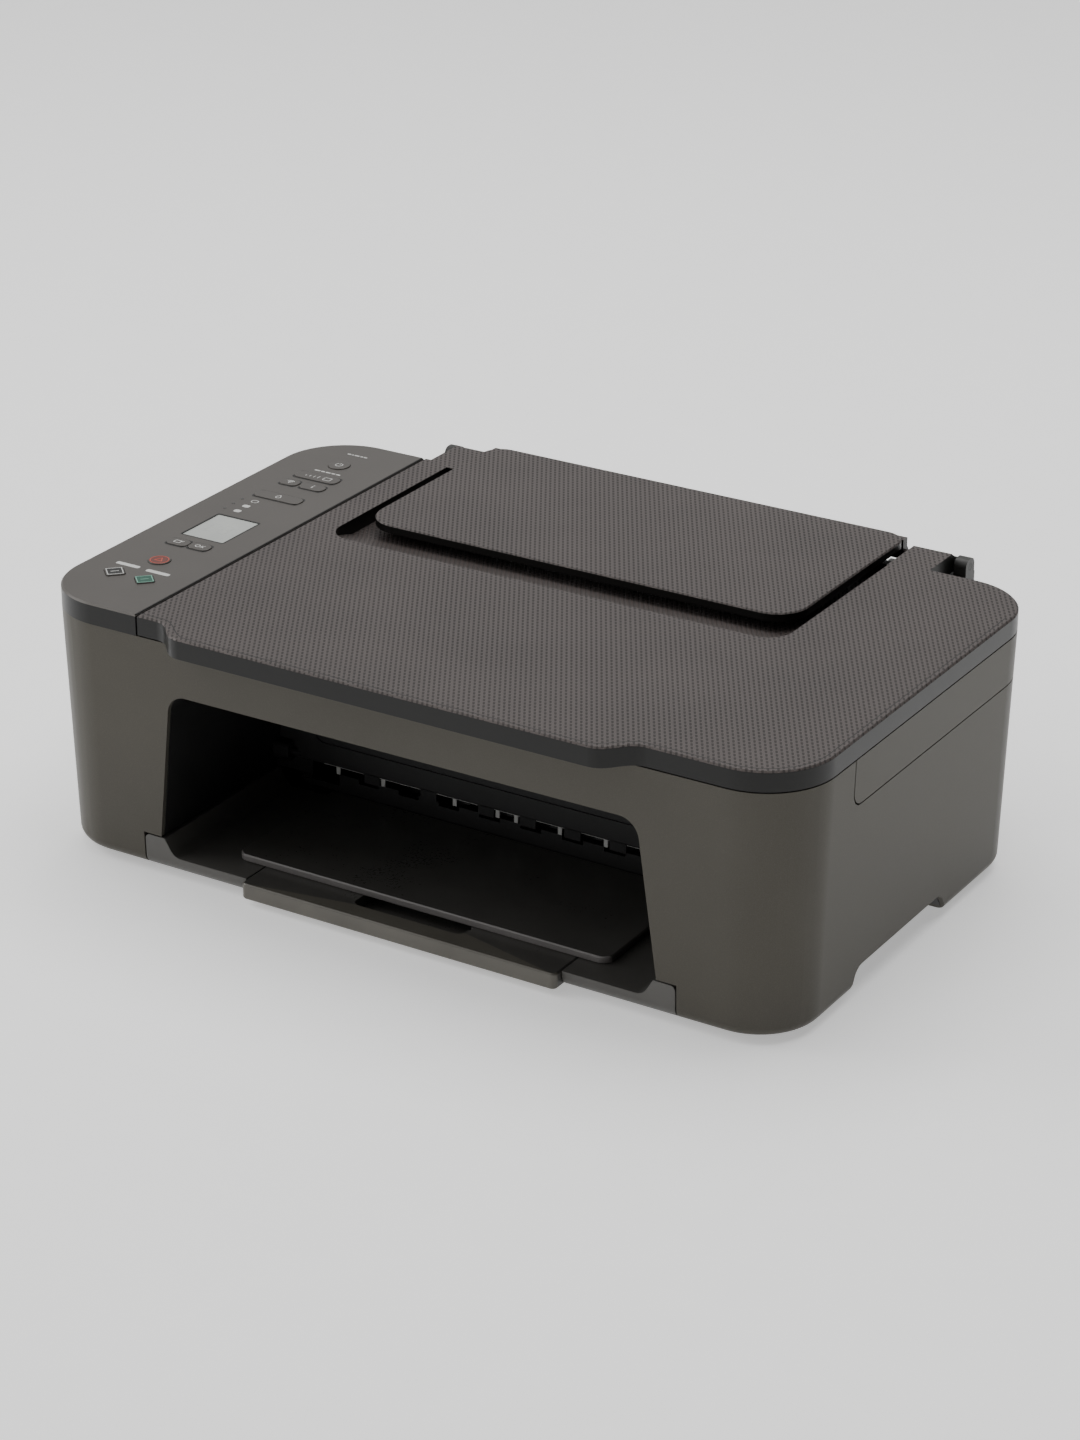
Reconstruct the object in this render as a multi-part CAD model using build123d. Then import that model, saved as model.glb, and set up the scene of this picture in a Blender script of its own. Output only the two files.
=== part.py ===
from build123d import *
import math
import os

# Compact all-in-one inkjet printer.
# Millimetres, +X right, -Y towards the user, +Z up.
# Origin on the ground under the middle of the overall box.

# ---------------------------------------------------------------- driving dimensions
BODY_WIDTH = 435.0          # casing, across
BODY_DEPTH = 260.0          # casing, front to rear
LIP_REACH = 14.0            # lid's pull lip, in front of the casing
REAR_DEPTH = 42.0           # rear feeder, behind the casing
CORNER_RADIUS = 37.0        # casing, seen from above
WALL = 2.6                  # casing wall
TAPER = 1.69                # degrees, casing sides narrow towards the ground
FOOT_HEIGHT = 3.5
FOOT_RADIUS = 9.0
CASING_HEIGHT = 128.5       # from the feet to the casing's top edge
TOP_GAP = 0.6               # between the casing and the lid
LID_HEIGHT = 10.6
SUPPORT_RISE = 1.8          # paper support stands this far above the lid
SEAM = 0.6                  # open line between outer mouldings
RUN = 0.05                  # radial clearance of a shaft in its bore
PRESS = 0.02                # radial clearance of a pin that is fixed in place
GAP = 0.3                   # between parts that slide past each other

PANEL_WIDTH = 65.3          # control panel, on the left of the top
PANEL_SEAM = 1.0            # between control panel and lid
PANEL_SKIN = 1.8

BAY_HALF_LOW = 144.5        # output bay, half width at the sill
BAY_HALF_HIGH = 134.0       # and under its top edge
BAY_DROP = 28.0             # bay's ceiling, below the casing's top edge
BAY_REAR = 105.0            # bay depth from the casing front
BAY_CORNER = 11.0
LINER_WALL = 2.0
SILL_HALF = 154.8
SILL_TOP = 21.5
SILL_FLOOR = 12.0

TRAY_WIDTH = 184.0          # lower tray board and its grip
TRAY_TOP = 12.2
TRAY_THICKNESS = 3.5
TRAY_LENGTH = 134.0
GRIP_DEPTH = 34.0
GRIP_REACH = 2.0            # grip stands in front of the casing
SLAB_WIDTH = 218.0          # tray extension on top of the board
SLAB_LENGTH = 85.5
SLAB_THICKNESS = 3.5

PAPER_WIDTH = 210.0
FEED_RADIUS = 5.7
OUTPUT_RADIUS = 5.7
SHAFT_RADIUS = 4.0
SMALL_SHAFT_RADIUS = 1.5
GEAR_MODULE = 0.9
GEAR_WIDTH = 4.0
FEED_TEETH = 28
IDLER_TEETH = 24
PINION_TEETH = 14
PICKUP_RADIUS = 18.0

CARRIAGE_WIDTH = 80.0
CARRIAGE_DEPTH = 62.0
CARRIAGE_DROP = 8.0         # carriage's top, below the rail's top edge
RAIL_THICKNESS = 1.5
PULLEY_RADIUS = 6.0
BELT_WIDTH = 5.0
BELT_THICKNESS = 1.2
MOTOR_RADIUS = 14.0

GLASS_LENGTH = 305.0
GLASS_WIDTH = 224.0
GLASS_THICKNESS = 2.5
SCAN_BAR_WIDTH = 14.0
SCAN_ROD_RADIUS = 2.5

SUPPORT_WIDTH = 254.0
SUPPORT_LENGTH = 129.4
SUPPORT_THICKNESS = 4.5
HINGE_PIN_RADIUS = 2.0
KNUCKLE_RADIUS = 3.8
REAR_INSET = 54.5           # rear feeder's sides, in from the casing's

# ---------------------------------------------------------------- levels and planes
HALF = BODY_WIDTH / 2
OVERALL_DEPTH = LIP_REACH + BODY_DEPTH + REAR_DEPTH
FRONT = -OVERALL_DEPTH / 2 + LIP_REACH
REAR = FRONT + BODY_DEPTH
BACK = REAR + REAR_DEPTH
BASE = FOOT_HEIGHT
REAR_HALF = HALF - REAR_INSET
CASING_TOP = BASE + CASING_HEIGHT
BAY_TOP = CASING_TOP - BAY_DROP
LID_BASE = CASING_TOP + TOP_GAP
LID_TOP = LID_BASE + LID_HEIGHT
SUPPORT_TOP = LID_TOP + SUPPORT_RISE
FLOOR_TOP = BASE + WALL
BOTTOM_INSET = 14.0
PANEL_EDGE = -HALF + PANEL_WIDTH
LID_LEFT = PANEL_EDGE + PANEL_SEAM
BAY_END = FRONT + BAY_REAR


# ---------------------------------------------------------------- shape helpers
def block(x0, x1, y0, y1, z0, z1):
    """Box between two corners."""
    centre = Pos((x0 + x1) / 2, (y0 + y1) / 2, (z0 + z1) / 2)
    return centre * Box(x1 - x0, y1 - y0, z1 - z0)


def rod_x(x0, x1, y, z, radius):
    """Cylinder along X."""
    return Pos((x0 + x1) / 2, y, z) * Rot(0, 90, 0) * Cylinder(radius, x1 - x0)


def rod_y(y0, y1, x, z, radius):
    """Cylinder along Y."""
    return Pos(x, (y0 + y1) / 2, z) * Rot(90, 0, 0) * Cylinder(radius, y1 - y0)


def rod_z(z0, z1, x, y, radius):
    """Cylinder along Z."""
    return Pos(x, y, (z0 + z1) / 2) * Cylinder(radius, z1 - z0)


def plate_xy(face, z0, z1):
    """Face drawn in plan, thickened between two levels."""
    return extrude(Plane.XY.offset(z0) * face, amount=z1 - z0)


def prism_xz(face, y0, y1):
    """Face drawn as seen from the front, run from y0 to y1."""
    return extrude(Plane.XZ.offset(-y1) * face, amount=y1 - y0)


def prism_yz(face, x0, x1):
    """Face drawn as seen from the right, run from x0 to x1."""
    return extrude(Plane.YZ.offset(x0) * face, amount=x1 - x0)


def outline(*points):
    """Closed straight-sided face."""
    return make_face(Polyline(*points, close=True))


def rounded_rect(x0, x1, y0, y1, radius):
    """Rounded rectangle between two corners, as a face."""
    return Pos((x0 + x1) / 2, (y0 + y1) / 2) * RectangleRounded(x1 - x0, y1 - y0, radius)


def mirrored(shape):
    """The shape and its mirror image across the middle plane."""
    return shape + mirror(shape, about=Plane.YZ)


def edges_at(shape, axis, value):
    """Edges that lie wholly at one value along an axis."""
    return shape.edges().filter_by_position(axis, value - 0.01, value + 0.01)


def gear(teeth, bore, x0, x1, y, z, turn):
    """Spur gear on an axis along X, turned by an angle in degrees."""
    pitch_radius = GEAR_MODULE * teeth / 2
    tip, root = pitch_radius + 0.9 * GEAR_MODULE, pitch_radius - 1.15 * GEAR_MODULE
    step = 360 / teeth
    points = []
    for tooth in range(teeth):
        for radius, share in ((root, -0.32), (tip, -0.10), (tip, 0.10), (root, 0.32)):
            angle = math.radians(turn + step * (tooth + share))
            points.append((radius * math.cos(angle), radius * math.sin(angle)))
    face = outline(*points) - Circle(bore)
    return prism_yz(Pos(y, z) * face, x0, x1)


# ---------------------------------------------------------------- casing
ARCH_FRONT, ARCH_REAR, ARCH_TOP, ARCH_DEPTH = FRONT + 66.0, FRONT + 178.0, BASE + 12.5, 17.0
SKIRT_FRONT, SKIRT_DROP, SKIRT_CORNER = FRONT + 58.0, 25.0, 8.0
SKIRT_BASE = CASING_TOP - SKIRT_DROP
PAPER_PORT_HALF = PAPER_WIDTH / 2 + 7.0
PAPER_PORT_LOW, PAPER_PORT_HIGH = BASE + 17.5, BASE + 92.5


def casing_block(inset, bottom):
    """Tapered block with the casing's plan, a given distance inside its skin."""
    plan = RectangleRounded(BODY_WIDTH - 2 * inset, BODY_DEPTH - 2 * inset, CORNER_RADIUS - inset)
    face = Pos(0, (FRONT + REAR) / 2, CASING_TOP) * plan
    return extrude(face, amount=bottom - CASING_TOP, taper=TAPER)


def casing_outer():
    """Outer solid of the casing with a rounded bottom edge."""
    solid = casing_block(0, BASE)
    return fillet(edges_at(solid, Axis.Z, BASE), 6.0)


def bay_face(grow):
    """Mouth of the output bay as seen from the front, widened by grow."""
    points = [(-BAY_HALF_LOW, SILL_TOP), (BAY_HALF_LOW, SILL_TOP)]
    points += [(BAY_HALF_HIGH, BAY_TOP), (-BAY_HALF_HIGH, BAY_TOP)]
    face = outline(*points)
    face = fillet(face.vertices().group_by(Axis.Y)[-1], BAY_CORNER)
    return offset(face, amount=grow) if grow else face


def skirt_region(gap):
    """Side view of the scanner housing's skirt, seen from the right, widened by gap."""
    front, low = SKIRT_FRONT - gap, SKIRT_BASE - gap
    face = outline((front, low), (REAR + 5, low), (REAR + 5, CASING_TOP + 5), (front, CASING_TOP + 5))
    corner = face.vertices().sort_by(lambda v: v.X + v.Y)[0]
    return prism_yz(fillet(corner, SKIRT_CORNER), -HALF - 5, HALF + 5)


def arch_prism(grow, depth):
    """Hand notches in the lower edge of both side walls, widened by grow."""
    face = outline((ARCH_FRONT - grow, -5), (ARCH_REAR + grow, -5), (ARCH_REAR - 14 + grow, ARCH_TOP + grow),
                   (ARCH_FRONT + 8 - grow, ARCH_TOP + grow))
    face = fillet(face.vertices().group_by(Axis.Y)[-1], 8.0)
    return mirrored(prism_yz(face, HALF - depth, HALF + 5))


def make_main_casing():
    """Outer cabinet: front, sides and rear wall with a narrow bottom flange."""
    outer = casing_outer()
    solid = outer - casing_block(WALL, FLOOR_TOP) - casing_block(BOTTOM_INSET, BASE)
    solid -= skirt_region(SEAM / 2)
    solid -= prism_xz(bay_face(0), FRONT - 5, FRONT + 20)
    solid -= block(-SILL_HALF - SEAM, SILL_HALF + SEAM, FRONT - 5, FRONT + 20, 0, SILL_TOP + SEAM)
    solid -= arch_prism(0, ARCH_DEPTH)
    port = block(-PAPER_PORT_HALF, PAPER_PORT_HALF, REAR - 20, REAR + 5, PAPER_PORT_LOW, PAPER_PORT_HIGH)
    solid -= port
    for x, z in SCREW_PLACES:
        solid -= rod_y(REAR - 20, REAR + 5, x, z, SCREW_RADIUS + PRESS)
    return solid


SCREW_RADIUS, SCREW_HEAD_RADIUS, SCREW_HEAD = 1.5, 3.4, 2.2
SCREW_PLACES = [(side * (REAR_HALF - 8.0), z) for side in (-1, 1) for z in (BASE + 30.0, CASING_TOP - 43.5)]


def make_base_chassis():
    """Floor of the machine, with a rim, cut away for the front sill."""
    solid = casing_block(BOTTOM_INSET + GAP, BASE) & block(-HALF, HALF, FRONT, REAR, BASE, FLOOR_TOP)
    rim = casing_block(WALL + GAP, FLOOR_TOP) - casing_block(WALL + GAP + 18, FLOOR_TOP)
    solid += rim & block(-HALF, HALF, FRONT, REAR, FLOOR_TOP, FLOOR_TOP + 2.0)
    solid -= block(-SILL_HALF - SEAM, SILL_HALF + SEAM, FRONT - 5, BAY_END + SEAM, 0, 30)
    pocket = arch_prism(2.0, ARCH_DEPTH + 2.0) & casing_block(WALL + GAP, FLOOR_TOP)
    return solid + pocket - arch_prism(0, ARCH_DEPTH)


FOOT_X, FOOT_FRONT, FOOT_REAR = HALF - 34.5, FRONT + 36.0, REAR - 36.0


def make_rubber_feet():
    """Four round pads under the floor."""
    feet = [rod_z(0, BASE, x, y, FOOT_RADIUS) for x in (-FOOT_X, FOOT_X) for y in (FOOT_FRONT, FOOT_REAR)]
    return [fillet(edges_at(foot, Axis.Z, 0), 1.0) for foot in feet]


def make_bay_liner():
    """Trapezoid duct of the output bay, its rear frame and the cover's hinge bosses."""
    duct = prism_xz(bay_face(LINER_WALL) - bay_face(0), FRONT, BAY_END)
    frame = prism_xz(bay_face(LINER_WALL), BAY_END, BAY_END + LINER_WALL)
    frame -= block(-WINDOW_HALF, WINDOW_HALF, BAY_END - 5, BAY_END + 5, 0, BAY_TOP - 7)
    boss = block(COVER_HALF + 4, BAY_HALF_LOW - 1.8, HINGE_Y - 4, BAY_END, HINGE_Z - 5, HINGE_Z + 5)
    boss = fillet(edges_at(boss, Axis.Y, HINGE_Y - 4).filter_by(Axis.X), 3.0)
    boss -= rod_x(COVER_HALF, COVER_HALF + 9, HINGE_Y, HINGE_Z, HINGE_PIN_RADIUS + RUN)
    solid = duct + frame + mirrored(boss)
    solid -= block(-HALF, HALF, FRONT - 5, BAY_END + 5, 0, SILL_TOP + GAP)
    return solid & casing_block(WALL + GAP, BASE)


COVER_HALF, COVER_THICKNESS = 129.0, 2.5
COVER_LOW, COVER_HIGH = BASE + 28.0, BAY_TOP - 4.0
HINGE_Y, HINGE_Z = BAY_END - 2.2, COVER_LOW + 2.0
WINDOW_HALF = 121.5


def make_cartridge_cover():
    """Door over the cartridges, hinged along its lower edge."""
    front = HINGE_Y - COVER_THICKNESS / 2
    rear = front + COVER_THICKNESS
    solid = block(-COVER_HALF, COVER_HALF, front, rear, COVER_LOW, COVER_HIGH)
    solid = fillet(solid.edges().filter_by(Axis.Y).group_by(Axis.Z)[-1], 8.0)
    solid = fillet(edges_at(solid, Axis.Z, COVER_LOW).filter_by(Axis.X), COVER_THICKNESS / 2 - 0.05)
    recess = block(-COVER_HALF + 12, COVER_HALF - 12, front - 1, front + 0.8, COVER_LOW + 12, COVER_HIGH - 14)
    solid -= fillet(recess.edges().filter_by(Axis.Y), 5.0)
    tab = block(-16, 16, front - 3.5, front, COVER_HIGH - 11, COVER_HIGH - 8.5)
    solid += fillet(edges_at(tab, Axis.Y, front - 3.5).filter_by(Axis.Z), 2.0)
    pins = rod_x(COVER_HALF - 2, COVER_HALF + 9, HINGE_Y, HINGE_Z, HINGE_PIN_RADIUS)
    return solid + mirrored(pins)


TRAY_HALF = TRAY_WIDTH / 2
TRAY_UNDER = TRAY_TOP - TRAY_THICKNESS
GRIP_FRONT = FRONT - GRIP_REACH
GRIP_END = GRIP_FRONT + GRIP_DEPTH
FINGER_HALF, FINGER_FRONT, FINGER_REAR = 32.0, GRIP_FRONT + 11.0, GRIP_END - 3.0
SLIT_FROM, SLIT_TO, SLIT_DEPTH = -17.0, 33.0, 2.5


def make_front_sill():
    """U-shaped sill of the bay, with a channel for the output tray."""
    outer = outline((-SILL_HALF, BASE), (SILL_HALF, BASE), (SILL_HALF, SILL_TOP), (-SILL_HALF, SILL_TOP))
    outer = fillet(outer.vertices().group_by(Axis.Y)[-1], 3.0)
    edge, foot = BAY_HALF_LOW - 1.9, BAY_HALF_LOW - 7.5
    inner = outline((-foot, SILL_FLOOR), (foot, SILL_FLOOR), (edge, SILL_TOP), (edge, SILL_TOP + 5),
                    (-edge, SILL_TOP + 5), (-edge, SILL_TOP))
    inner = fillet(inner.vertices().group_by(Axis.Y)[0], 7.0)
    solid = prism_xz(outer - inner, FRONT - 1, BAY_END)
    half = TRAY_HALF + GAP
    solid -= block(-half, half, FRONT - 5, GRIP_END + GAP, 0, SILL_FLOOR + 5)
    solid -= block(-half, half, FRONT, BAY_END + 5, TRAY_UNDER - 2 * GAP, SILL_FLOOR + 5)
    return solid & casing_outer()


def make_output_tray():
    """Lower tray board with its front grip, finger recess and rear stops."""
    grip = block(-TRAY_HALF, TRAY_HALF, GRIP_FRONT, GRIP_END, BASE, TRAY_TOP)
    grip = fillet(grip.edges().filter_by(Axis.Z).group_by(Axis.Y)[0], 3.0)
    grip = chamfer(edges_at(grip, Axis.Y, GRIP_FRONT).filter_by(Axis.X), 0.8)
    finger = block(-FINGER_HALF, FINGER_HALF, FINGER_FRONT, FINGER_REAR, BASE + 2.4, TRAY_TOP + 1)
    grip -= fillet(finger.edges().filter_by(Axis.Z), 4.0)
    slit_front = FINGER_FRONT + 6.5
    grip -= block(SLIT_FROM, SLIT_TO, slit_front, slit_front + SLIT_DEPTH, 0, TRAY_TOP)
    rear = GRIP_FRONT + TRAY_LENGTH
    board = block(-TRAY_HALF, TRAY_HALF, GRIP_END - 1, rear, TRAY_UNDER, TRAY_TOP)
    for x in (-TRAY_HALF + 24, 0, TRAY_HALF - 24):
        board -= block(x - 14, x + 14, GRIP_END + 12, rear - 14, TRAY_TOP - 1.0, TRAY_TOP + 1)
    return grip + board


def make_tray_extension():
    """Flat slab that slides out over the tray board."""
    front, rear = FRONT + 19.0, FRONT + 19.0 + SLAB_LENGTH
    half = SLAB_WIDTH / 2
    base = TRAY_TOP + GAP
    face = rounded_rect(-half, half, front, rear, 6.0) + rounded_rect(-half, half, rear - 20, rear, 1.0)
    solid = plate_xy(face, base, base + SLAB_THICKNESS)
    solid = chamfer(edges_at(solid, Axis.Z, base + SLAB_THICKNESS), 0.6)
    for x in (-0.62, -0.31, 0.0, 0.31, 0.62):
        groove = block(x * half - 1.0, x * half + 1.0, front + 14, rear - 10, base - 1, base + 0.8)
        solid -= groove
    return solid


# ---------------------------------------------------------------- paper drive
FRAME_INSIDE, FRAME_WALL = PAPER_WIDTH / 2 + 19.0, 2.0
PAPER_LEVEL = BASE + 24.2
FEED_Y = BAY_END + 63.5
FEED_Z = PAPER_LEVEL - FEED_RADIUS
OUTPUT_Y = FEED_Y - GEAR_MODULE * (2 * FEED_TEETH + 2 * IDLER_TEETH) / 2
OUTPUT_Z = FEED_Z
IDLER_Y = FEED_Y - GEAR_MODULE * (FEED_TEETH + IDLER_TEETH) / 2
PINION_Y = FEED_Y + GEAR_MODULE * (FEED_TEETH + PINION_TEETH) / 2
GEAR_X1 = -FRAME_INSIDE - FRAME_WALL - 2.0
GEAR_X0 = GEAR_X1 - GEAR_WIDTH
PINCH_RADIUS, STAR_RADIUS = 3.0, 4.5
PINCH_Z = PAPER_LEVEL + GAP + PINCH_RADIUS
STAR_Z = PAPER_LEVEL + GAP + STAR_RADIUS
FEED_MOTOR_RADIUS = 11.0
FRAME_FRONT, FRAME_REAR = BAY_END + LINER_WALL + GAP, FEED_Y + 14.0


def make_print_platen():
    """Ribbed platen between the two side plates that carry the rollers."""
    high, low = STAR_Z + STAR_RADIUS + 0.4, PAPER_LEVEL + 1.0
    side = outline((FRAME_FRONT, FLOOR_TOP), (FRAME_REAR, FLOOR_TOP), (FRAME_REAR, low), (FEED_Y + 8, PINCH_Z + 4),
                   (FEED_Y - 7, PINCH_Z + 4), (FEED_Y - 9, low), (OUTPUT_Y + 9, low), (OUTPUT_Y + 7, high),
                   (FRAME_FRONT, high))
    plate = prism_yz(side, FRAME_INSIDE, FRAME_INSIDE + FRAME_WALL)
    for y, z, radius in ((FEED_Y, FEED_Z, SHAFT_RADIUS), (OUTPUT_Y, OUTPUT_Z, SMALL_SHAFT_RADIUS),
                         (FEED_Y, PINCH_Z, SMALL_SHAFT_RADIUS), (OUTPUT_Y, STAR_Z, SMALL_SHAFT_RADIUS)):
        plate -= rod_x(FRAME_INSIDE - 1, FRAME_INSIDE + 5, y, z, radius + RUN)
    solid = mirrored(plate)
    front, rear = OUTPUT_Y + OUTPUT_RADIUS + 4, FEED_Y - FEED_RADIUS - 4
    solid += block(-FRAME_INSIDE, FRAME_INSIDE, front, rear, PAPER_LEVEL - 5.5, PAPER_LEVEL - 3.5)
    ribs = int(PAPER_WIDTH / 15)
    for rib in range(ribs + 1):
        x = -PAPER_WIDTH / 2 + PAPER_WIDTH * rib / ribs
        solid += block(x - 0.6, x + 0.6, front, rear, PAPER_LEVEL - 4.5, PAPER_LEVEL - 0.7)
    solid += rod_x(GEAR_X0 - 1, -FRAME_INSIDE, IDLER_Y, FEED_Z, HINGE_PIN_RADIUS)
    beam_top = PAPER_LEVEL - 9.5
    return solid + block(-FRAME_INSIDE, FRAME_INSIDE, FRAME_REAR - 3, FRAME_REAR, beam_top - 4, beam_top)


def roller(y, z, radius, shaft, width, spacing, reach):
    """Shaft with rollers spread evenly along it."""
    solid = rod_x(-reach, reach, y, z, shaft)
    count = int(PAPER_WIDTH / spacing)
    for index in range(count):
        x = (index - (count - 1) / 2) * spacing
        solid += rod_x(x - width / 2, x + width / 2, y, z, radius)
    return solid


def make_feed_roller():
    """Feed shaft with its gritted sleeve and gear."""
    reach = FRAME_INSIDE + FRAME_WALL + 1.5
    solid = rod_x(GEAR_X0, reach, FEED_Y, FEED_Z, SHAFT_RADIUS)
    solid += rod_x(-PAPER_WIDTH / 2, PAPER_WIDTH / 2, FEED_Y, FEED_Z, FEED_RADIUS)
    return solid + gear(FEED_TEETH, SHAFT_RADIUS - 0.5, GEAR_X0, GEAR_X1, FEED_Y, FEED_Z, 0)


def make_output_roller():
    """Output shaft with rubber tyres and its gear."""
    solid = roller(OUTPUT_Y, OUTPUT_Z, OUTPUT_RADIUS, SMALL_SHAFT_RADIUS, 9.0, 26.0, FRAME_INSIDE + FRAME_WALL + 1)
    solid += rod_x(GEAR_X0, -FRAME_INSIDE, OUTPUT_Y, OUTPUT_Z, SMALL_SHAFT_RADIUS)
    return solid + gear(FEED_TEETH, SMALL_SHAFT_RADIUS - 0.5, GEAR_X0, GEAR_X1, OUTPUT_Y, OUTPUT_Z, 0)


def make_idler_gear():
    """Gear that joins the feed and output shafts."""
    turn = 180 / IDLER_TEETH
    return gear(IDLER_TEETH, HINGE_PIN_RADIUS + RUN, GEAR_X0, GEAR_X1, IDLER_Y, FEED_Z, turn)


def make_motor_pinion():
    """Feed motor's pinion and shaft."""
    turn = 180 / PINION_TEETH
    solid = gear(PINION_TEETH, SMALL_SHAFT_RADIUS - 0.5, GEAR_X0, GEAR_X1, PINION_Y, FEED_Z, turn)
    return solid + rod_x(GEAR_X0 - 12, GEAR_X1, PINION_Y, FEED_Z, SMALL_SHAFT_RADIUS)


def make_feed_motor():
    """Feed motor on a bracket that stands on the floor."""
    face, length = GEAR_X0 - 4.0, 30.0
    solid = rod_x(face - length, face, PINION_Y, FEED_Z, FEED_MOTOR_RADIUS)
    solid += rod_x(face, face + 1.5, PINION_Y, FEED_Z, 4.0)
    solid -= rod_x(face - 9, face + 3, PINION_Y, FEED_Z, SMALL_SHAFT_RADIUS + RUN)
    foot = block(face - length + 4, face - 4, PINION_Y - 9, PINION_Y + 9, FLOOR_TOP, FEED_Z - FEED_MOTOR_RADIUS + 3)
    return solid + foot


def make_pinch_rollers():
    """Small rollers that press the sheet on the feed roller."""
    return roller(FEED_Y, PINCH_Z, PINCH_RADIUS, SMALL_SHAFT_RADIUS, 14.0, 28.0, FRAME_INSIDE + FRAME_WALL + 1)


def make_star_wheels():
    """Thin toothed wheels that steady the printed sheet."""
    solid = rod_x(-FRAME_INSIDE - 3, FRAME_INSIDE + 3, OUTPUT_Y, STAR_Z, SMALL_SHAFT_RADIUS)
    points = []
    for tip in range(24):
        radius = STAR_RADIUS if tip % 2 else STAR_RADIUS - 0.9
        angle = math.radians(15 * tip)
        points.append((radius * math.cos(angle), radius * math.sin(angle)))
    star = Pos(OUTPUT_Y, STAR_Z) * outline(*points)
    count = int(PAPER_WIDTH / 26)
    for index in range(count):
        x = (index - (count - 1) / 2) * 26.0
        solid += prism_yz(star, x - 2.6, x - 1.8) + prism_yz(star, x + 1.8, x + 2.6)
    return solid


def make_exit_guide():
    """Castellated lower lip of the paper exit."""
    low, high, rear = BASE + 11.0, PAPER_LEVEL - 1.9, BAY_END + 3.0
    half = PAPER_WIDTH / 2
    solid = block(-half, half, BAY_END, rear, low, high - 2.5)
    count = int(PAPER_WIDTH / 13)
    for index in range(0, count + 1, 2):
        x = -half + PAPER_WIDTH * index / (count + 1)
        solid += block(x, x + PAPER_WIDTH / (count + 1), BAY_END, rear, high - 3.0, high)
    wing = block(-FRAME_INSIDE, FRAME_INSIDE, FRAME_FRONT, rear, low, low + 3.5)
    return solid + wing


def make_star_wheel_holder():
    """Cover plate over the star wheels with a row of tabs along the exit."""
    top = STAR_Z + STAR_RADIUS + 0.4
    end = OUTPUT_Y + 7.0
    solid = block(-FRAME_INSIDE - FRAME_WALL, FRAME_INSIDE + FRAME_WALL, FRAME_FRONT, end, top, top + 1.6)
    solid += block(-WINDOW_HALF + 1.5, WINDOW_HALF - 1.5, BAY_END, FRAME_FRONT, top, top + 1.6)
    solid += block(-WINDOW_HALF + 1.5, WINDOW_HALF - 1.5, BAY_END, BAY_END + 1.4, PAPER_LEVEL + 2.0, top)
    for index in range(8):
        x = (index - 3.5) * 26.0 + 13.0
        if abs(x) < PAPER_WIDTH / 2 - 3:
            solid += block(x - 2, x + 2, BAY_END, BAY_END + 3.0, PAPER_LEVEL + 0.8, top)
    return solid


# ---------------------------------------------------------------- carriage and its drive
PARK_X = HALF - 57.5
CARRIAGE_FRONT = FRAME_FRONT + 15.0
CARRIAGE_REAR = CARRIAGE_FRONT + CARRIAGE_DEPTH
CARRIAGE_LOW = STAR_Z + STAR_RADIUS + 4.0
HEAD_LOW = PAPER_LEVEL + 2.6
RAIL_Y = CARRIAGE_REAR + 6.0
RAIL_LOW, RAIL_HIGH = CARRIAGE_LOW - 1.0, BAY_TOP - 7.0
CARRIAGE_HIGH = RAIL_HIGH - CARRIAGE_DROP
RAIL_HALF = HALF - 21.5
BELT_Z = (RAIL_LOW + RAIL_HIGH) / 2 - 2.0
BELT_INNER = PULLEY_RADIUS + GAP
BELT_FRONT = RAIL_Y - 0.7 - BELT_WIDTH
PULLEY_X = RAIL_HALF - 8.0


def make_carriage_rail():
    """Sheet metal beam that guides the carriage, with two legs and the idler's pin."""
    solid = block(-RAIL_HALF, RAIL_HALF, RAIL_Y, RAIL_Y + RAIL_THICKNESS, RAIL_LOW, RAIL_HIGH)
    flange = RAIL_Y + 12.0
    solid += block(-RAIL_HALF, RAIL_HALF, RAIL_Y, flange, RAIL_LOW, RAIL_LOW + RAIL_THICKNESS)
    for x0, x1 in ((-RAIL_HALF, -RAIL_HALF + 12), (RAIL_HALF - 12, RAIL_HALF)):
        solid += block(x0, x1, flange - RAIL_THICKNESS, flange, FLOOR_TOP + 2.0, RAIL_LOW + RAIL_THICKNESS)
        solid += block(x0, x1, flange - 12, flange, FLOOR_TOP + 2.0, FLOOR_TOP + 2.0 + RAIL_THICKNESS)
    solid -= rod_y(RAIL_Y - 1, RAIL_Y + 3, -PULLEY_X, BELT_Z, 4.0 + PRESS)
    return solid + rod_y(BELT_FRONT - 0.2, RAIL_Y, PULLEY_X, BELT_Z, HINGE_PIN_RADIUS)


def make_carriage_belt():
    """Closed loop of belt round the two pulleys."""
    outer = RectangleRounded(2 * (PULLEY_X + BELT_INNER + BELT_THICKNESS), 2 * (BELT_INNER + BELT_THICKNESS),
                             BELT_INNER + BELT_THICKNESS - 0.01)
    inner = RectangleRounded(2 * (PULLEY_X + BELT_INNER), 2 * BELT_INNER, BELT_INNER - 0.01)
    return prism_xz(Pos(0, BELT_Z) * (outer - inner), BELT_FRONT, BELT_FRONT + BELT_WIDTH)


def pulley(x):
    """Toothed pulley body with two thin rims inside the belt's width."""
    solid = rod_y(BELT_FRONT, BELT_FRONT + BELT_WIDTH, x, BELT_Z, PULLEY_RADIUS - 0.6)
    for tooth in range(16):
        angle = 22.5 * tooth
        place = Pos(x, BELT_FRONT + BELT_WIDTH / 2, BELT_Z) * Rot(0, angle, 0) * Pos(PULLEY_RADIUS - 0.7, 0, 0)
        solid += place * Box(1.2, BELT_WIDTH, 1.2)
    return solid


def make_drive_pulley():
    """Pulley on the carriage motor's shaft."""
    return pulley(-PULLEY_X) + rod_y(BELT_FRONT - 0.2, RAIL_Y + 12, -PULLEY_X, BELT_Z, SMALL_SHAFT_RADIUS)


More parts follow.
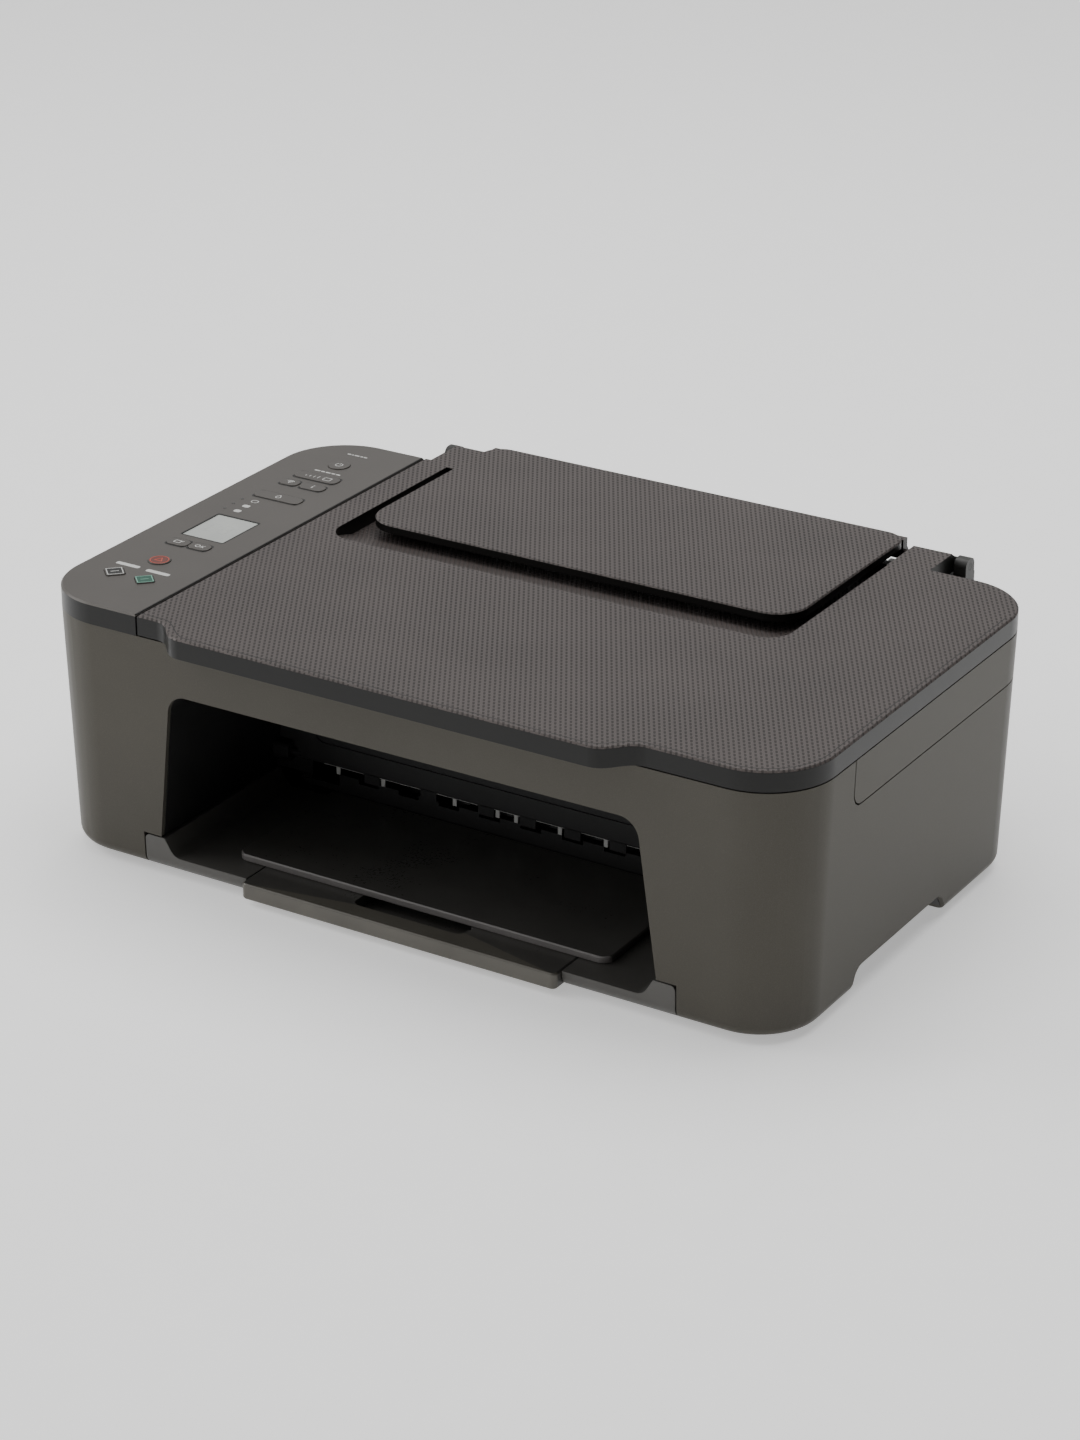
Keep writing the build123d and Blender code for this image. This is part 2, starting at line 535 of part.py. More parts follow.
def make_idler_pulley():
    """Pulley that turns on the rail's pin."""
    return pulley(PULLEY_X) - rod_y(BELT_FRONT - 1, RAIL_Y, PULLEY_X, BELT_Z, HINGE_PIN_RADIUS + RUN)


def make_carriage_motor():
    """Round motor behind the rail."""
    face = RAIL_Y + RAIL_THICKNESS
    solid = rod_y(face, face + 30, -PULLEY_X, BELT_Z, MOTOR_RADIUS)
    solid = fillet(edges_at(solid, Axis.Y, face + 30), 2.0)
    solid += rod_y(face - RAIL_THICKNESS, face, -PULLEY_X, BELT_Z, 4.0)
    return solid - rod_y(face - 3, face + 12.5, -PULLEY_X, BELT_Z, SMALL_SHAFT_RADIUS + RUN)


BAY_SPLIT = PARK_X - 5.0
CARTRIDGE_GAP = 0.4


def carriage_pockets():
    """Left and right ends of the two cartridge pockets."""
    left, right = PARK_X - CARRIAGE_WIDTH / 2 + 3, PARK_X + CARRIAGE_WIDTH / 2 - 3
    return (left, BAY_SPLIT - 1), (BAY_SPLIT + 1, right)


def make_carriage():
    """Open-topped cartridge holder with print head, rail hook and belt clamp."""
    x0, x1 = PARK_X - CARRIAGE_WIDTH / 2, PARK_X + CARRIAGE_WIDTH / 2
    solid = block(x0, x1, CARRIAGE_FRONT, CARRIAGE_REAR, CARRIAGE_LOW, CARRIAGE_HIGH)
    solid = fillet(solid.edges().filter_by(Axis.Z).group_by(Axis.Y)[0], 4.0)
    for left, right in carriage_pockets():
        solid -= block(left, right, CARRIAGE_FRONT + 2.5, CARRIAGE_REAR - 3, CARRIAGE_LOW + 3, CARRIAGE_HIGH + 1)
        window = (CARRIAGE_FRONT - 1, CARRIAGE_FRONT + 3, CARRIAGE_LOW + 16, CARRIAGE_HIGH + 1)
        solid -= block(left + 4, right - 4, *window)
    middle = (OUTPUT_Y + FEED_Y) / 2
    solid += block(PARK_X - 24, PARK_X + 24, middle - 7, middle + 11, HEAD_LOW, CARRIAGE_LOW)
    solid += block(x0 + 8, x1 - 8, CARRIAGE_REAR - 3, CARRIAGE_REAR, CARRIAGE_HIGH - 1, RAIL_HIGH + 3.5)
    solid += block(x0 + 8, x1 - 8, CARRIAGE_REAR - 3, RAIL_Y + 5, RAIL_HIGH + 1, RAIL_HIGH + 3.5)
    solid += block(x0 + 8, x1 - 8, RAIL_Y + RAIL_THICKNESS + 1, RAIL_Y + 5, RAIL_HIGH - 6, RAIL_HIGH + 2)
    upper, lower = BELT_Z - BELT_INNER + 0.4, BELT_Z - BELT_INNER - BELT_THICKNESS - 0.4
    for low, high in ((upper, upper + 2.4), (lower - 2.4, lower)):
        solid += block(PARK_X - 10, PARK_X + 10, CARRIAGE_REAR - 1, RAIL_Y - 0.6, low, high)
    return solid


def cartridge(left, right):
    """Ink cartridge with a grip step on top, seated in its pocket."""
    x0, x1 = left + CARTRIDGE_GAP, right - CARTRIDGE_GAP
    y0, y1 = CARRIAGE_FRONT + 2.5 + CARTRIDGE_GAP, CARRIAGE_REAR - 3 - CARTRIDGE_GAP
    solid = block(x0, x1, y0, y1, CARRIAGE_LOW + 3, CARRIAGE_HIGH + 2)
    solid -= block(x0 - 1, x1 + 1, y0 + 22, y1 + 1, CARRIAGE_HIGH - 3, CARRIAGE_HIGH + 3)
    return chamfer(edges_at(solid, Axis.Z, CARRIAGE_HIGH + 2), 1.0)


def make_cartridge_black():
    """Black ink cartridge."""
    return cartridge(*carriage_pockets()[0])


def make_cartridge_color():
    """Three-colour ink cartridge."""
    return cartridge(*carriage_pockets()[1])


def make_capping_station():
    """Tub with a raised cap under the parked print head."""
    middle = (OUTPUT_Y + FEED_Y) / 2
    x0, x1 = FRAME_INSIDE + 12.0, RAIL_HALF - 2.0
    solid = block(x0, x1, middle - 16, middle + 20, FLOOR_TOP + 2.0, HEAD_LOW - 7)
    solid -= block(x0 + 2, x1 - 2, middle - 14, middle + 18, FLOOR_TOP + 4.5, HEAD_LOW)
    cap = block(PARK_X - 16, PARK_X + 16, middle - 6, middle + 10, FLOOR_TOP + 4, HEAD_LOW - 0.5)
    return solid + cap - block(PARK_X - 13, PARK_X + 13, middle - 3, middle + 7, HEAD_LOW - 3, HEAD_LOW)


# ---------------------------------------------------------------- rear feeder
HINGE_AXIS_Y, HINGE_AXIS_Z = BACK - 12.0, LID_BASE + 3.4
SLOT_HALF = PAPER_WIDTH / 2 + 7.0
FEEDER_WALL = 2.5
FEEDER_LOW, FEEDER_TOP = BASE + 16.5, CASING_TOP - 1.0
LEDGE_TOP = FEEDER_TOP - 13.0
LEDGE_FRONT = BACK - 11.0
PLATE_AXIS_Y, PLATE_AXIS_Z = BACK - 8.5, LEDGE_TOP - 9.5
EAR_WIDTH = 7.0
LEFT_ARM, RIGHT_ARM = (-HALF + 70.5, -HALF + 89.5), (HALF - 84.5, HALF - 62.5)
SLOT_FRONT = REAR + 2.8
INLET_X, USB_X, SOCKET_Z = -REAR_HALF + 32.0, REAR_HALF - 32.0, FEEDER_LOW + 27.0
INLET_SIZE, USB_SIZE = (28.0, 20.0), (13.0, 12.0)


def make_rear_housing():
    """Rear feeder: paper slot, guide ledge, socket bays and hinge ears."""
    solid = block(-REAR_HALF, REAR_HALF, REAR - 8, BACK, FEEDER_LOW, FEEDER_TOP)
    solid = fillet(solid.edges().filter_by(Axis.Z).group_by(Axis.Y)[-1], 8.0)
    inner_back = BACK - FEEDER_WALL
    solid -= block(-SLOT_HALF, SLOT_HALF, SLOT_FRONT, inner_back, FEEDER_LOW + FEEDER_WALL, FEEDER_TOP + 1)
    solid -= block(-SLOT_HALF, SLOT_HALF, REAR - 9, SLOT_FRONT + 1, FEEDER_LOW + FEEDER_WALL, PAPER_PORT_HIGH)
    solid -= block(-SLOT_HALF, SLOT_HALF, HINGE_AXIS_Y - 3, BACK + 1, LEDGE_TOP, FEEDER_TOP + 1)
    swing_half, swing_floor = SUPPORT_WIDTH / 2 + 1.5, 2 * HINGE_AXIS_Z - SUPPORT_TOP - 1.0
    solid -= block(-swing_half, swing_half, HINGE_AXIS_Y - 3, BACK + 1, swing_floor, FEEDER_TOP + 1)
    for side in (-1, 1):
        x0, x1 = sorted((side * (SLOT_HALF + FEEDER_WALL), side * (REAR_HALF - 16)))
        solid -= block(x0, x1, SLOT_FRONT, inner_back, FEEDER_LOW + FEEDER_WALL, swing_floor - FEEDER_WALL)
    solid += block(-SLOT_HALF, SLOT_HALF, LEDGE_FRONT, inner_back, LEDGE_TOP - 6, LEDGE_TOP)
    solid += rod_z(LEDGE_TOP, LEDGE_TOP + 2.2, 0, PINION_AXIS_Y, RACK_PIN_RADIUS)
    solid -= rod_x(-SLOT_HALF - 4, SLOT_HALF + 4, PLATE_AXIS_Y, PLATE_AXIS_Z, HINGE_PIN_RADIUS + RUN)
    for x, (width, height) in ((INLET_X, INLET_SIZE), (USB_X, USB_SIZE)):
        solid -= Pos(x, BACK - 4, SOCKET_Z) * Box(width, 10, height)
    right_ear, left_ear = RIGHT_ARM[1] + 1.0, LEFT_ARM[0] - 1.0
    ears = ((right_ear, right_ear + EAR_WIDTH), (left_ear - EAR_WIDTH, left_ear))
    for x0, x1 in ears:
        ear = block(x0, x1, HINGE_AXIS_Y - 5, HINGE_AXIS_Y + 5, FEEDER_TOP - 3, HINGE_AXIS_Z + 4.5)
        ear = fillet(ear.edges().filter_by(Axis.X).group_by(Axis.Z)[-1], 4.0)
        solid += ear - rod_x(x0 - 1, x1 + 1, HINGE_AXIS_Y, HINGE_AXIS_Z, HINGE_PIN_RADIUS + RUN)
    for x, z in SCREW_PLACES:
        solid -= rod_y(REAR - 12, BACK + 1, x, z, SCREW_RADIUS + PRESS)
        solid -= rod_y(REAR + 5, BACK + 1, x, z, SCREW_HEAD_RADIUS + 0.6)
    return solid - casing_outer()


def make_rear_screws():
    """Cross-head screws that hold the rear feeder on the casing."""
    screws = []
    for x, z in SCREW_PLACES:
        screw = rod_y(REAR + 5, REAR + 5 + SCREW_HEAD, x, z, SCREW_HEAD_RADIUS)
        screw = fillet(edges_at(screw, Axis.Y, REAR + 5 + SCREW_HEAD), 0.9)
        for size in ((3.6, 0.8), (0.8, 3.6)):
            screw -= Pos(x, REAR + 5 + SCREW_HEAD, z) * Box(size[0], 2.2, size[1])
        screws.append(screw + rod_y(REAR - 10, REAR + 5, x, z, SCREW_RADIUS))
    return screws


def socket(x, size, depth, hole):
    """Panel socket with an open rear face."""
    width, height = size[0] - 2 * PRESS, size[1] - 2 * PRESS
    solid = block(x - width / 2, x + width / 2, BACK - depth, BACK - 0.4, SOCKET_Z - height / 2, SOCKET_Z + height / 2)
    half_w, half_h = hole[0] / 2, hole[1] / 2
    return solid - block(x - half_w, x + half_w, BACK - depth + 4, BACK, SOCKET_Z - half_h, SOCKET_Z + half_h)


def make_power_inlet():
    """Two-pin mains inlet."""
    solid = socket(INLET_X, INLET_SIZE, 22.0, (18.0, 9.0))
    for x in (INLET_X - 4.3, INLET_X + 4.3):
        solid += rod_y(BACK - 19, BACK - 5, x, SOCKET_Z, 1.1)
    return solid


def make_usb_port():
    """Square data socket with its tongue."""
    solid = socket(USB_X, USB_SIZE, 18.0, (8.6, 7.8))
    return solid + block(USB_X - 2.9, USB_X + 2.9, BACK - 15, BACK - 4, SOCKET_Z - 1.6, SOCKET_Z + 1.6)


CHUTE_RADIUS, CHUTE_WALL = 38.0, 2.0
CHUTE_Z = FEEDER_LOW + FEEDER_WALL + CHUTE_RADIUS + 0.5
PICKUP_Y, PICKUP_Z = REAR - 8.0, CHUTE_Z + 7.0


def make_paper_chute():
    """Curved guide from the feeder to the feed roller, with the pickup shaft's ears."""
    centre = REAR - 4.0
    ring = Pos(centre, CHUTE_Z) * (Circle(CHUTE_RADIUS) - Circle(CHUTE_RADIUS - CHUTE_WALL))
    ring &= Pos(centre + 50, CHUTE_Z - 50) * Rectangle(100, 100)
    low = CHUTE_Z - CHUTE_RADIUS
    start, level = FEED_Y + FEED_RADIUS + 6, PAPER_LEVEL - 2.5
    ramp = outline((centre, low), (centre, low + CHUTE_WALL), (start, level), (start, level - CHUTE_WALL))
    half = PAPER_WIDTH / 2 + 1.0
    solid = prism_yz(ring + ramp, -half, half)
    ear_face = outline((PICKUP_Y - 8, low + 1), (PICKUP_Y + 9, low + 1), (PICKUP_Y + 6, PICKUP_Z + 6),
                       (PICKUP_Y - 6, PICKUP_Z + 6))
    ear = prism_yz(ear_face, half, half + 3)
    ear -= rod_x(half - 1, half + 4, PICKUP_Y, PICKUP_Z, SMALL_SHAFT_RADIUS + RUN)
    return solid + mirrored(ear)


def make_pickup_roller():
    """Shaft with the rubber roller that draws in a sheet."""
    solid = rod_x(-PAPER_WIDTH / 2 - 5.5, PAPER_WIDTH / 2 + 5.5, PICKUP_Y, PICKUP_Z, SMALL_SHAFT_RADIUS)
    return solid + rod_x(-16, 16, PICKUP_Y, PICKUP_Z, PICKUP_RADIUS)


def make_lift_plate():
    """Plate that presses the sheets towards the pickup roller, hung from its top."""
    low, front = CHUTE_Z + 4.0, PLATE_AXIS_Y - 3.0
    half = SLOT_HALF - 5.0
    solid = block(-half, half, front, front + 2.5, low, PLATE_AXIS_Z)
    solid += rod_x(-half, half, PLATE_AXIS_Y, PLATE_AXIS_Z, 3.0)
    solid += rod_x(-SLOT_HALF - 3.5, SLOT_HALF + 3.5, PLATE_AXIS_Y, PLATE_AXIS_Z, HINGE_PIN_RADIUS)
    return solid - block(-14, 14, front - 1, front + 0.8, low + 6, low + 20)


GUIDE_X = PAPER_WIDTH / 2 + 1.5
GUIDE_FRONT, GUIDE_REAR = SLOT_FRONT + 2.2, LEDGE_FRONT - 5.0
GUIDE_LOW, GUIDE_HIGH = LEDGE_TOP - 18.0, LEDGE_TOP + 18.0
RACK_MODULE, RACK_TEETH, RACK_PIN_RADIUS = 0.8, 8, 1.2
RACK_HEIGHT = 2.0
PINION_AXIS_Y = BACK - 5.6
RACK_LINE = RACK_MODULE * RACK_TEETH / 2


def rack(y_pitch, facing, x0, x1, phase):
    """Toothed bar along X whose teeth point to +Y or -Y."""
    pitch = math.pi * RACK_MODULE
    back, root, tip = y_pitch - facing * 2.0, y_pitch - facing * 0.95, y_pitch + facing * 0.72
    low, high = sorted((back, root))
    solid = block(x0, x1, low, high, LEDGE_TOP + GAP, LEDGE_TOP + GAP + RACK_HEIGHT)
    first = math.ceil((x0 + 1) / pitch - phase)
    last = math.floor((x1 - 1) / pitch - phase)
    for index in range(first, last + 1):
        x = (index + phase) * pitch
        tooth = outline((x - 0.31 * pitch, root - facing * 0.1), (x - 0.10 * pitch, tip), (x + 0.10 * pitch, tip),
                        (x + 0.31 * pitch, root - facing * 0.1))
        solid += plate_xy(tooth, LEDGE_TOP + GAP, LEDGE_TOP + GAP + RACK_HEIGHT)
    return solid


def guide(side, rack_y, facing, phase):
    """Edge guide: upright blade, bridge over the ledge and its rack."""
    x = side * GUIDE_X
    inner, outer = sorted((x, x + side * 2.0))
    blade = block(inner, outer, GUIDE_FRONT, GUIDE_REAR, GUIDE_LOW, GUIDE_HIGH)
    blade = fillet(blade.edges().filter_by(Axis.X).group_by(Axis.Y)[0], 5.0)
    x0, x1 = sorted((x + side * 2.0, x - side * 6.0))
    top = LEDGE_TOP + GAP + RACK_HEIGHT
    reach = rack_y + 1.2 if facing > 0 else rack_y + 2.0
    bridge = block(x0, x1, GUIDE_REAR - 1, reach, top, top + 1.4)
    toe_x0, toe_x1 = sorted((-side * 4.0, x))
    return blade + bridge + rack(rack_y, facing, toe_x0, toe_x1, phase)


def make_paper_guide_left():
    """Left edge guide."""
    return guide(-1, PINION_AXIS_Y - RACK_LINE, 1, 0.5)


def make_paper_guide_right():
    """Right edge guide."""
    return guide(1, PINION_AXIS_Y + RACK_LINE, -1, 0.5)


def make_guide_pinion():
    """Small pinion between the two racks."""
    pitch_radius = RACK_LINE
    points = []
    for tooth in range(RACK_TEETH):
        for radius, share in ((pitch_radius - 0.9, -0.30), (pitch_radius + 0.6, -0.09),
                              (pitch_radius + 0.6, 0.09), (pitch_radius - 0.9, 0.30)):
            angle = math.radians(90 + 360 / RACK_TEETH * (tooth + share))
            points.append((radius * math.cos(angle), radius * math.sin(angle)))
    face = Pos(0, PINION_AXIS_Y) * (outline(*points) - Circle(RACK_PIN_RADIUS + RUN))
    return plate_xy(face, LEDGE_TOP + GAP, LEDGE_TOP + GAP + RACK_HEIGHT - 0.2)


# ---------------------------------------------------------------- scanner
GLASS_X = (LID_LEFT + HALF) / 2
GLASS_Y = (FRONT + REAR) / 2 + 2.0
GLASS_TOP = CASING_TOP - 0.5
SCAN_FLOOR, SCAN_CEILING = SKIRT_BASE + 2.5, CASING_TOP - 5.5
SCAN_X0, SCAN_X1 = PANEL_EDGE + 12.0, HALF - 17.5
SCAN_Y0, SCAN_Y1 = FRONT + 16.0, REAR - 16.0
SCAN_ROD_Y, SCAN_ROD_Z = GLASS_Y, SCAN_FLOOR + 3.7
SCAN_BAR_X = SCAN_X0 + 7.0


def make_scanner_housing():
    """Scanner tray with its side skirt, glass seat and the panel's electronics bay."""
    skirt = casing_outer() & skirt_region(-SEAM / 2)
    inside = casing_block(WALL + GAP, BASE)
    front = inside & block(-HALF, HALF, FRONT, SKIRT_FRONT + 12, SKIRT_BASE + SEAM / 2, CASING_TOP)
    solid = skirt + front
    solid -= block(SCAN_X0, SCAN_X1, SCAN_Y0, SCAN_Y1, SCAN_FLOOR, SCAN_CEILING)
    half_x, half_y = GLASS_LENGTH / 2 - 4.0, GLASS_WIDTH / 2 - 4.0
    window = (GLASS_X - half_x, GLASS_X + half_x, GLASS_Y - half_y, GLASS_Y + half_y)
    solid -= block(*window, SCAN_FLOOR, CASING_TOP + 1)
    half_x, half_y = GLASS_LENGTH / 2 + PRESS, GLASS_WIDTH / 2 + PRESS
    seat = GLASS_TOP - GLASS_THICKNESS
    solid -= block(GLASS_X - half_x, GLASS_X + half_x, GLASS_Y - half_y, GLASS_Y + half_y, seat, CASING_TOP + 1)
    bay = rounded_rect(-HALF + 10, PANEL_EDGE - 4, FRONT + 12, REAR - 12, 6.0)
    solid -= plate_xy(bay, SCAN_FLOOR, CASING_TOP + 1) & casing_block(WALL + 5, BASE)
    return solid + rod_x(SCAN_X0, SCAN_X1, SCAN_ROD_Y, SCAN_ROD_Z, SCAN_ROD_RADIUS)


def make_platen_glass():
    """Scanner glass, flush in its seat."""
    return block(GLASS_X - GLASS_LENGTH / 2, GLASS_X + GLASS_LENGTH / 2, GLASS_Y - GLASS_WIDTH / 2,
                 GLASS_Y + GLASS_WIDTH / 2, GLASS_TOP - GLASS_THICKNESS, GLASS_TOP)


def make_scan_bar():
    """Image sensor bar that rides on the scanner's rod."""
    x0, x1 = SCAN_BAR_X, SCAN_BAR_X + SCAN_BAR_WIDTH
    half = GLASS_WIDTH / 2 - 6.0
    low, high = SCAN_ROD_Z + SCAN_ROD_RADIUS + 0.8, SCAN_CEILING - GAP
    solid = block(x0, x1, GLASS_Y - half, GLASS_Y + half, low, high)
    solid -= block(x0 + 5, x1 - 5, GLASS_Y - half + 6, GLASS_Y + half - 6, high - 1.2, high + 1)
    solid += block(x0, x1, SCAN_ROD_Y - 7, SCAN_ROD_Y + 7, SCAN_FLOOR + 0.5, low)
    return solid - rod_x(x0 - 1, x1 + 1, SCAN_ROD_Y, SCAN_ROD_Z, SCAN_ROD_RADIUS + RUN)


# ---------------------------------------------------------------- lid and paper support
LIP_INNER, LIP_OUTER = 116.0, 140.0
RECESS_HALF, RECESS_FRONT, RECESS_FLOOR = 133.5, FRONT + 138.0, LID_BASE + 2.4
RECESS_RAMP, RECESS_CORNER = 25.0, 14.0
LID_SKIN = 2.3
POCKET = 0.9


def top_outline():
    """Plan of the whole top, with the pull lip along the lid's front."""
    body = rounded_rect(-HALF, HALF, FRONT, REAR, CORNER_RADIUS)
    start, end, tip = (-LIP_OUTER, FRONT + 0.01), (LIP_OUTER, FRONT + 0.01), FRONT - LIP_REACH
    bend = (LIP_OUTER + LIP_INNER) / 2
    left = Bezier(start, (-bend, FRONT), (-bend, tip), (-LIP_INNER, tip))
    middle = Line((-LIP_INNER, tip), (LIP_INNER, tip))
    right = Bezier((LIP_INNER, tip), (bend, tip), (bend, FRONT), end)
    back = Polyline(end, (LIP_OUTER, FRONT + 10), (-LIP_OUTER, FRONT + 10), start)
    return body + make_face(left + middle + right + back)


def recess_cut():
    """Hollow in the lid's top that runs out to the rear under the paper support."""
    face = outline((RECESS_FRONT, LID_TOP + 1), (RECESS_FRONT, LID_TOP - 0.4), (RECESS_FRONT + 3.5, LID_TOP - 2.2),
                   (RECESS_FRONT + RECESS_RAMP, RECESS_FLOOR), (REAR + 5, RECESS_FLOOR), (REAR + 5, LID_TOP + 1))
    plan = rounded_rect(-RECESS_HALF, RECESS_HALF, RECESS_FRONT, REAR + RECESS_CORNER + 10, RECESS_CORNER)
    return prism_yz(face, -RECESS_HALF, RECESS_HALF) & plate_xy(plan, LID_BASE, LID_TOP + 2)


def lid_arm(x0, x1):
    """Hinge arm behind the lid with its knuckle and moulded pin stub."""
    arm = block(x0, x1, REAR - 6, HINGE_AXIS_Y - 5, LID_BASE + 0.2, LID_TOP)
    web = outline((HINGE_AXIS_Y - 5.5, LID_TOP), (HINGE_AXIS_Y - 5.5, LID_BASE + 0.2),
                  (HINGE_AXIS_Y, HINGE_AXIS_Z - KNUCKLE_RADIUS), (HINGE_AXIS_Y, HINGE_AXIS_Z + KNUCKLE_RADIUS))
    return arm + prism_yz(web, x0, x1) + rod_x(x0, x1, HINGE_AXIS_Y, HINGE_AXIS_Z, KNUCKLE_RADIUS)


BARREL_WIDTH = 14.0
BARREL_X = SUPPORT_WIDTH / 2 - 1.0 - BARREL_WIDTH


def make_document_lid():
    """Scanner lid with pull lip, recess, hollow underside and hinge arms."""
    plan = top_outline() & Pos((LID_LEFT + HALF + 5) / 2, 0) * Rectangle(HALF + 5 - LID_LEFT, OVERALL_DEPTH + 10)
    solid = plate_xy(plan, LID_BASE, LID_TOP)
    solid = chamfer(edges_at(solid, Axis.Z, LID_TOP), 0.9)
    solid -= recess_cut()
    x0, x1 = GLASS_X - GLASS_LENGTH / 2 + 8, GLASS_X + GLASS_LENGTH / 2 - 8
    y0, y1 = GLASS_Y - GLASS_WIDTH / 2 + 8, GLASS_Y + GLASS_WIDTH / 2 - 8
    solid -= block(x0 - PRESS, x1 + PRESS, y0 - PRESS, y1 + PRESS, LID_BASE - 1, LID_BASE + POCKET)
    hollow_top = LID_TOP - LID_SKIN
    for column in range(6):
        left = x0 + 2 + (x1 - x0 - 2) * column / 6
        right = x0 + (x1 - x0 - 2) * (column + 1) / 6
        solid -= block(left, right, y0 + 2, RECESS_FRONT - 3, LID_BASE, hollow_top)
    solid -= block(RECESS_HALF + 3, x1 - 2, RECESS_FRONT + 2, y1 - 2, LID_BASE, hollow_top)
    left_pin = (LEFT_ARM[0] - 1 - EAR_WIDTH, -BARREL_X)
    right_pin = (BARREL_X, RIGHT_ARM[1] + 1 + EAR_WIDTH)
    for arm, pin in ((LEFT_ARM, left_pin), (RIGHT_ARM, right_pin)):
        solid += lid_arm(*arm) + rod_x(*pin, HINGE_AXIS_Y, HINGE_AXIS_Z, HINGE_PIN_RADIUS)
    return solid


def make_lid_pressure_pad():
    """White backing pad under the lid."""
    x0, x1 = GLASS_X - GLASS_LENGTH / 2 + 8, GLASS_X + GLASS_LENGTH / 2 - 8
    y0, y1 = GLASS_Y - GLASS_WIDTH / 2 + 8, GLASS_Y + GLASS_WIDTH / 2 - 8
    return block(x0, x1, y0, y1, GLASS_TOP + 0.2, LID_BASE + POCKET)


def make_paper_support():
    """Flat support panel, hollow below, with a hinge barrel at each rear corner."""
    half, rear = SUPPORT_WIDTH / 2, HINGE_AXIS_Y + 2.0
    front = rear - SUPPORT_LENGTH
    face = outline((-half, front), (half, front), (half, rear), (-half, rear))
    face = fillet(face.vertices().group_by(Axis.Y)[0], 18.0)
    face = fillet(face.vertices().filter_by(lambda v: v.Y > rear - 1), 12.0)
    solid = plate_xy(face, SUPPORT_TOP - SUPPORT_THICKNESS, SUPPORT_TOP)
    solid = chamfer(edges_at(solid, Axis.Z, SUPPORT_TOP), 0.7)
    inner = offset(face, amount=-2.2)
    solid -= plate_xy(inner, SUPPORT_TOP - SUPPORT_THICKNESS - 1, SUPPORT_TOP - 2.2)
    for index in range(-3, 4):
        x = index * SUPPORT_WIDTH / 8
        solid += block(x - 0.7, x + 0.7, front + 1, rear - 1, SUPPORT_TOP - SUPPORT_THICKNESS + 0.5, SUPPORT_TOP - 2)
    web = block(BARREL_X, BARREL_X + BARREL_WIDTH, HINGE_AXIS_Y - 3, rear - 0.2, HINGE_AXIS_Z, SUPPORT_TOP - 1)
    barrel = web + rod_x(BARREL_X, BARREL_X + BARREL_WIDTH, HINGE_AXIS_Y, HINGE_AXIS_Z, KNUCKLE_RADIUS - 0.2)
    bore = rod_x(BARREL_X - 1, BARREL_X + BARREL_WIDTH + 1, HINGE_AXIS_Y, HINGE_AXIS_Z, HINGE_PIN_RADIUS + RUN)
    return (solid + mirrored(barrel)) - mirrored(bore)


# ---------------------------------------------------------------- control panel
BUTTON_RISE, BUTTON_TRAVEL, BUTTON_GAP, FLANGE = 0.5, 0.8, 0.25, 0.9
PANEL_MID = (-HALF + PANEL_EDGE) / 2
BOARD_LOW, BOARD_THICKNESS = LID_BASE + 1.6, 1.4
DISPLAY = (-HALF + 20.1, -HALF + 45.9, FRONT + 100.0, FRONT + 132.4)
LAMP_X, LAMP_STEP, LAMP_Y, LAMP_RADIUS = -HALF + 17.4, 7.9, FRONT + 141.3, 0.9
# name: outline, centre x from the left edge, centre y from the front, width, depth
BUTTONS = {
    "button_power": ("round", 33.2, 225.1, 12.0, 12.0),
    "button_wireless": ("pill", 33.8, 203.5, 27.5, 9.0),
    "button_left": ("pill", 25.4, 189.9, 11.4, 8.0),
    "button_right": ("pill", 40.0, 190.1, 15.2, 8.0),
    "button_mode": ("pill", 33.1, 168.4, 29.2, 9.0),
    "button_help": ("pill", 26.2, 88.9, 13.0, 8.4),
    "button_copies": ("pill", 39.4, 89.3, 12.6, 8.4),
    "button_stop": ("round", 32.7, 63.7, 11.6, 11.6),
    "button_start_black": ("diamond", 22.6, 39.5, 13.8, 13.8),
    "button_start_color": ("diamond", 41.9, 38.9, 13.2, 13.2),
}


def button_face(name, grow):
    """Plan of one button, widened by grow."""
    kind, left, ahead, width, depth = BUTTONS[name]
    if kind == "round":
        face = Circle(width / 2 + grow)
    elif kind == "diamond":
        side = width / math.sqrt(2) + 2 * grow
        face = Rot(0, 0, 45) * RectangleRounded(side, side, 1.4)
    else:
        face = RectangleRounded(width + 2 * grow, depth + 2 * grow, min(depth, width) / 2 - 0.6)
    return Pos(-HALF + left, FRONT + ahead) * face


def make_button(name):
    """Button cap with a retaining flange under the panel and a switch stem."""
    kind, left, ahead, width, depth = BUTTONS[name]
    skin = LID_TOP - PANEL_SKIN
    cap = plate_xy(button_face(name, 0), skin - 1.8, LID_TOP + BUTTON_RISE)
    cap = fillet(edges_at(cap, Axis.Z, LID_TOP + BUTTON_RISE), 0.35)
    flange = Pos(-HALF + left, FRONT + ahead) * Rectangle(min(width, depth) * 0.6, depth + 2 * FLANGE)
    cap += plate_xy(flange, skin - 1.8, skin - GAP)
    stem_low = BOARD_LOW + BOARD_THICKNESS + BUTTON_TRAVEL + 0.3
    return cap + rod_z(stem_low, skin - 1, -HALF + left, FRONT + ahead, 1.5)


def panel_posts():
    """Places of the posts that hold the panel's board."""
    return [(x, y) for x in (-HALF + 14.0, PANEL_EDGE - 9.0) for y in (FRONT + 52.0, REAR - 42.0)]


